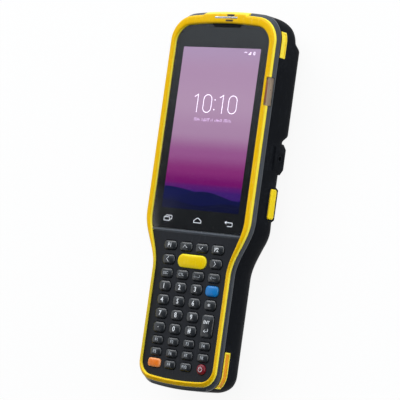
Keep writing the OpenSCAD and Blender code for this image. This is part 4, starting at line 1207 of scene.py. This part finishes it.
cutters = [inlay("cut", s, a, b, ACCENT_Z[0] - 0.1, ACCENT_Z[1] + 0.1, 1.0, 3.0)
           for s in SIDES for a, b in ACCENTS]
for s in SIDES:
    hole = rounded(TRIGGER_L + 0.6, TRIGGER_H + 0.6, 1.4, 6, (TRIGGER_Y, TRIGGER_Z))
    cutters.append(prism("cut", hole, "X", *sorted((s * 31, s * 41))))
    cutters.append(rod("cut", 1.25, "X", (EYELET_Y, EYELET_Z), *sorted((s * 33, s * 41))))
    groove = [(2.3, 40), (2.3, 39.3), (2.6, 39.12), (2.9, 39.3), (2.9, 40)]
    rows = [[(s * x, y, z) for y, z in circle(r, (EYELET_Y, EYELET_Z), 40)] for r, x in groove]
    cutters.append(skin("cut", rows, ring=True))
cutters += [rod("cut", 2.1, "Z", at, -1, 12) for at in SCREWS]
cutters += [block("cut", (-41, PORT_Y - 8.2, 15.6), (-36.9, PORT_Y + 8.2, 22.3)),
            block("cut", (-41, PORT_Y - 4.7, 15.6), (-34.5, PORT_Y + 4.7, 19.2)),
            view_prism("cut", 26.2, 8.0, 1.6, 6, 106.2, 111),
            block("cut", (-11.8, 102, VIEW_Z - 2.7), (11.8, 107, VIEW_Z + 2.7)),
            rod("cut", 3.4, "Z", CAMERA, -1, 3), rod("cut", 2.0, "Z", FLASH, -1, 3)]
cutters += [prism("cut", rounded(9, 1.0, 0.49, 5, (SPEAKER[0], SPEAKER[1] + 2.4 * i)), "Z", -1, 3)
            for i in range(-2, 3)]
cutters += [block("cut", low, high) for low, high in LATCH_CUTS]
carve(rear, *cutters)
print("rear case faces", len(rear.data.polygons))

# %% [markdown]
# Two long grip ribs are pressed into each side of the hump, and a bare step marks the label field. The
# bay for the battery is a thin tray inside the case, with a ledge on which the door closes. Wells for
# the screws stand inside as well. They are separate skins in the same object, as the edges between
# them never show.

# %% Bay, wells and finish
BAY_ROOM = ((-19.5, -91.75, -1), (19.5, -31.85, 15.9))
bay = block("bay", (-20.7, -92.95, 5.2), (20.7, -30.65, 17.1))
carve(bay, block("cut", *BAY_ROOM))
ledge = block("ledge", (-28.6, -92.95, 6.2), (28.6, -30.65, 7.6))
combine(ledge, [rear_body("keep", 0.9, 23.8)], "INTERSECT")
carve(ledge, block("cut", *BAY_ROOM))
wells = []
for x, y in SCREWS:
    low = max(rear_section(38, y, 0, REAR_TOP)[-1][1] + 1.0, 5.5) if y < 0 else 5.5
    well = rod("well", 3.0, "Z", (x, y), low, 23.6)
    wells.append(carve(well, rod("cut", 2.1, "Z", (x, y), 0, 8), rod("cut", 1.05, "Z", (x, y), 7, 24)))
field = prism("field", rounded(36, 12, 1.5, 6, (-4, 64)), "Z", -1, 0.25)
ribs = [prism("rib", rounded(1.2, 26, 0.59, 5, (s * x, 67)), "Z", -1, 0.4) for s in SIDES for x in (25, 22.5)]
soften(carve(rear, field, *ribs), 0.15, 2, 50)
dress(join(rear, bay, ledge, *wells), "rear_plastic", "rear_housing")

# %% [markdown]
# ## Small parts
# The small parts are quick to model and do much for the look: the yellow inlays and scan buttons, the
# status lens, the latch, the port's flap, the scan window and the camera.

# %% Inlays
patches = []
for s in SIDES:
    for a, b in ACCENTS:
        patch = soften(inlay("inlay", s, a + 0.1, b - 0.1, *ACCENT_Z, 0.9, 0.2), 0.15, 2)
        carve(patch, inlay("cut", s, a + 0.9, b - 0.9, ACCENT_Z[0] + 0.8, ACCENT_Z[1] - 0.8, 0.15, 2.0))
        patches.append(paint(patch, "yellow_bumper"))
        if a < 0:
            field = inlay("field", s, a + 1.1, b - 1.1, ACCENT_Z[0] + 1.0, ACCENT_Z[1] - 1.0, 0.3, -0.05)
            patches.append(paint(field, "orange_field"))
dress(join(*patches, name="side_inlays"), "yellow_bumper", "side_accents")

# %% Scan buttons
LAYERS = [(33.0, 0.0), (38.5, 0.0), (38.85, 0.1), (39.08, 0.35), (39.17, 0.7), (TRIGGER_X, 1.2)]
for side, label in ((1, "right_trigger"), (-1, "left_trigger")):
    rows = []
    for x, inset in LAYERS:
        shape = rounded(TRIGGER_L - 2 * inset, TRIGGER_H - 2 * inset, 1.3, 6, (TRIGGER_Y, TRIGGER_Z))
        rows.append([(side * x, y, z) for y, z in shape])
    button = skin("trigger_" + label.split("_")[0], rows)
    inner_x, outer_x = sorted((side * 31.3, side * 32.5))
    lip = block("lip", (inner_x, TRIGGER_Y - 9.5, TRIGGER_Z - 3.7),
                (outer_x, TRIGGER_Y + 9.5, TRIGGER_Z + 3.7))
    dress(join(button, soften(lip, 0.2)), "yellow_button", label, body=label)

# %% Status lens
lens = block("status_lens", (35.9, 55.35, 25.2), (38.0, 71.15, 29.7))
dress(soften(lens, 0.45, 4), "smoke_lens", "indicator_lens")
core = soften(block("lens_core", (35.95, 55.6, 25.3), (36.5, 70.9, 28.3)), 0.1)
chip = soften(block("chip", (35.95, 57.1, 28.35), (36.6, 69.4, 29.3)), 0.1)
dress(join(paint(core, "lens_diffuser"), paint(chip, "lens_red")), "smoke_lens")

# %% Latch
TEETH = [(-96.35, 0.9), (-96.35, 0.2), (-96.65, 0.05)]
for i in range(4):
    y = -97.25 - i * 0.9
    TEETH += [(y, 0.05), (y - 0.2, 0.4), (y - 0.4, 0.4), (y - 0.6, 0.05)]
TEETH += [(-101.05, 0.05), (-101.35, 0.2), (-101.35, 0.9)]
STEM = [(0.9, 0.6), (0.9, 1.9), (1.8, 1.95), (1.8, 2.6), (1.6, 2.7), (0.9, 2.7), (0.9, 3.0)]
latch = soften(prism("latch", TEETH, "X", -5.1, 2.9), 0.06, 1)
join(latch, turned("stem", STEM, "Z", (-1.1, -99.75)))
dress(latch, "yellow_button", "battery_latch", body="battery_latch")

# %% Port flap
PORT_LO, PORT_HI, FLAP_PIN = PORT_Y - PORT_L / 2, PORT_Y + PORT_L / 2, (FLAP_Z, FLAP_X)
leaf = soften(block("port_flap", (-38.2, PORT_LO, FLAP_Z), (-37.0, PORT_HI, FLAP_Z + 5.8)), 0.3, 3)
tug = soften(prism("tug", rounded(6, 0.9, 0.4, 4, (PORT_Y, FLAP_Z + 4.8)), "X", -38.2, -37.3), 0.05)
pin = rod("pin", 0.5, "Y", FLAP_PIN, PORT_LO - 1, PORT_HI + 1, 32)
knuckle = soften(rod("knuckle", 0.6, "Y", FLAP_PIN, PORT_LO, PORT_HI, 32), 0.1)
plug = soften(block("plug", (-37.6, PORT_Y - 3.7, 16.6), (-35.8, PORT_Y + 3.7, 18.2)), 0.3, 3)
dress(join(leaf, tug, pin, knuckle, plug), "black_rubber", "port_cover", body="port_cover")

# %% Scan window
pane = view_prism("scan_pane", 26, 7.8, 1.5, 8, 106.25, 107.45)
dress(soften(pane, 0.15), "red_window", "scan_window")

# %% Camera and lamp
# Each turned part: name, profile, middle, steps, finish.
EYE_PARTS = [
    ("camera_parts", [(1.7, 0.9), (2.3, 0.45), (2.9, 0.3), (3.15, 0.35), (3.2, 0.6), (3.2, 2.8)], CAMERA, 64,
     "module_black"),
    ("eye", [(0.05, 0.62), (0.9, 0.66), (1.7, 0.85), (1.8, 1.2)], CAMERA, 48, "dark_window"),
    ("lamp_ring", [(1.3, 0.4), (1.6, 0.3), (1.8, 0.4), (1.8, 2.8)], FLASH, 48, "module_black"),
    ("lamp", [(0.05, 0.45), (0.8, 0.5), (1.35, 0.6), (1.4, 1.0)], FLASH, 48, "lamp_lens")]
parts = [paint(turned(name, profile, "Z", at, steps), finish)
         for name, profile, at, steps, finish in EYE_PARTS]
parts += [paint(block("body", low, high), "module_black")
          for low, high in (((-22, 70.65, 1.9), (-12, 80.65, 6.8)), ((-13, 72.65, 1.9), (-5, 78.65, 3.8)))]
dress(join(*parts), "module_black", "camera_module")

# %% [markdown]
# ## Parts that keep their shape
# The boards, the chassis, the battery and the screws show only when a cover is open, and their
# engineering shapes are already right. They keep them, and get a proper finish.

# %% Circuit board
tree, surface = new_material("circuit_board", tint("#17603A"))
here = place_of(tree)
tracks = node(tree, "ShaderNodeTexBrick", {"Vector": here, "Scale": 260.0, "Mortar Size": 0.03,
                                           "Color1": tint("#14532F"), "Color2": tint("#1B6A40"),
                                           "Mortar": tint("#2C8A58")})
pads = node(tree, "ShaderNodeTexVoronoi", {"Vector": here, "Scale": 420.0})
gold = spread(tree, pads, 0.16, 0.2, 1.0, 0.0)
feed(tree, surface, {"Base Color": mix(tree, gold, tracks, tint("#C9A24A")), "Roughness": 0.35,
                     "Metallic": maths(tree, "MULTIPLY", gold, 0.9),
                     "Normal": bump(tree, tracks.outputs["Fac"], 0.03)})

# %% Finish the carried-over nodes
FINISHES = {"chassis": "cast_chassis", "circuit_boards": "circuit_board", "keypad_mat": "silicone_mat",
            "scan_engine": "module_black", "speaker": "module_black", "battery_pack": "battery_wrap",
            "screws": "screw_steel", "cover_catch": "screw_steel"}
for name, finish in FINISHES.items():
    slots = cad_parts[name].data.materials
    for i in range(len(slots)):
        slots[i] = finish_of(finish)
    print(name, "gets", finish)

# %% [markdown]
# ## Floor and light
# The terminal lies on a plain, pale floor in a soft studio. In a real studio the background gets a lamp
# of its own, which burns it to white. Here the floor adds a little light of its own where the camera
# sees it, directly or in a reflection, so that it turns white without more light on the object.

# %% Floor
FLOOR, FLOOR_Z = 3000, -0.3
corners = [(x * FLOOR, y * FLOOR, FLOOR_Z) for x, y in ((-1, -1), (1, -1), (1, 1), (-1, 1))]
floor = mesh_object("floor", corners, [(0, 1, 2, 3)])
tree, surface = new_material("white_floor", tint("#F2F2F2"))
rays = tree.nodes.new("ShaderNodeLightPath").outputs
seen = maths(tree, "MAXIMUM", rays["Is Camera Ray"], rays["Is Glossy Ray"])
seen = maths(tree, "MAXIMUM", seen, rays["Is Transmission Ray"])
cloudy = noise(tree, place_of(tree), 3.0, 2.0)
feed(tree, surface, {"Base Color": mix(tree, cloudy, tint("#F4F4F4"), tint("#EFEFEF")), "Roughness": 0.9})
glow = node(tree, "ShaderNodeEmission", {"Color": (1, 1, 1, 1), "Strength": 1.0})
top_side = mix_shaders(tree, maths(tree, "MULTIPLY", seen, 0.91), surface, glow)
under = tree.nodes.new("ShaderNodeNewGeometry").outputs["Backfacing"]
set_output(tree, mix_shaders(tree, under, top_side, tree.nodes.new("ShaderNodeBsdfTransparent")))
paint(floor, "white_floor")

# %% Lamps and world
# Each lamp is a soft box, turned to face the terminal: name, place and size in metres, power in watts.
LAMPS = [("key_light", (-0.25, 1.25, 0.95), 1.4, 0.9, 15), ("fill_light", (-1.2, -0.35, 0.8), 1.0, 1.0, 3),
         ("side_light", (1.2, 0.2, 0.85), 0.8, 1.5, 9), ("edge_light", (-0.95, 0.85, 0.75), 0.5, 0.6, 3)]
LAMP_AIM = Vector((0, 0, 0.02))
for name, place, width, height, power in LAMPS:
    light = bpy.data.lights.new(name, "AREA")
    light.shape, light.size, light.size_y, light.energy = "RECTANGLE", width, height, power
    lamp = placed(name, light)
    lamp.location = place
    lamp.rotation_euler = (LAMP_AIM - Vector(place)).to_track_quat("-Z", "Y").to_euler()
    print("lamp", name, power, "W")
world = bpy.data.worlds.new("studio")
bpy.context.scene.world = world
world.use_nodes = True
tree = world.node_tree
aim = node(tree, "ShaderNodeSeparateXYZ", {0: tree.nodes.new("ShaderNodeTexCoord").outputs["Generated"]})
walls = spread(tree, aim.outputs["Y"], 0.065, 0.16, 0.07, 0.88)
camera_ray = tree.nodes.new("ShaderNodeLightPath").outputs["Is Camera Ray"]
feed(tree, tree.nodes["Background"], {
    "Strength": maths(tree, "MAXIMUM", walls, camera_ray),
    "Color": mix(tree, camera_ray, (0.86, 0.93, 1.0, 1.0), (1.0, 1.0, 1.0, 1.0))})
bpy.context.scene.view_settings.view_transform = "Standard"
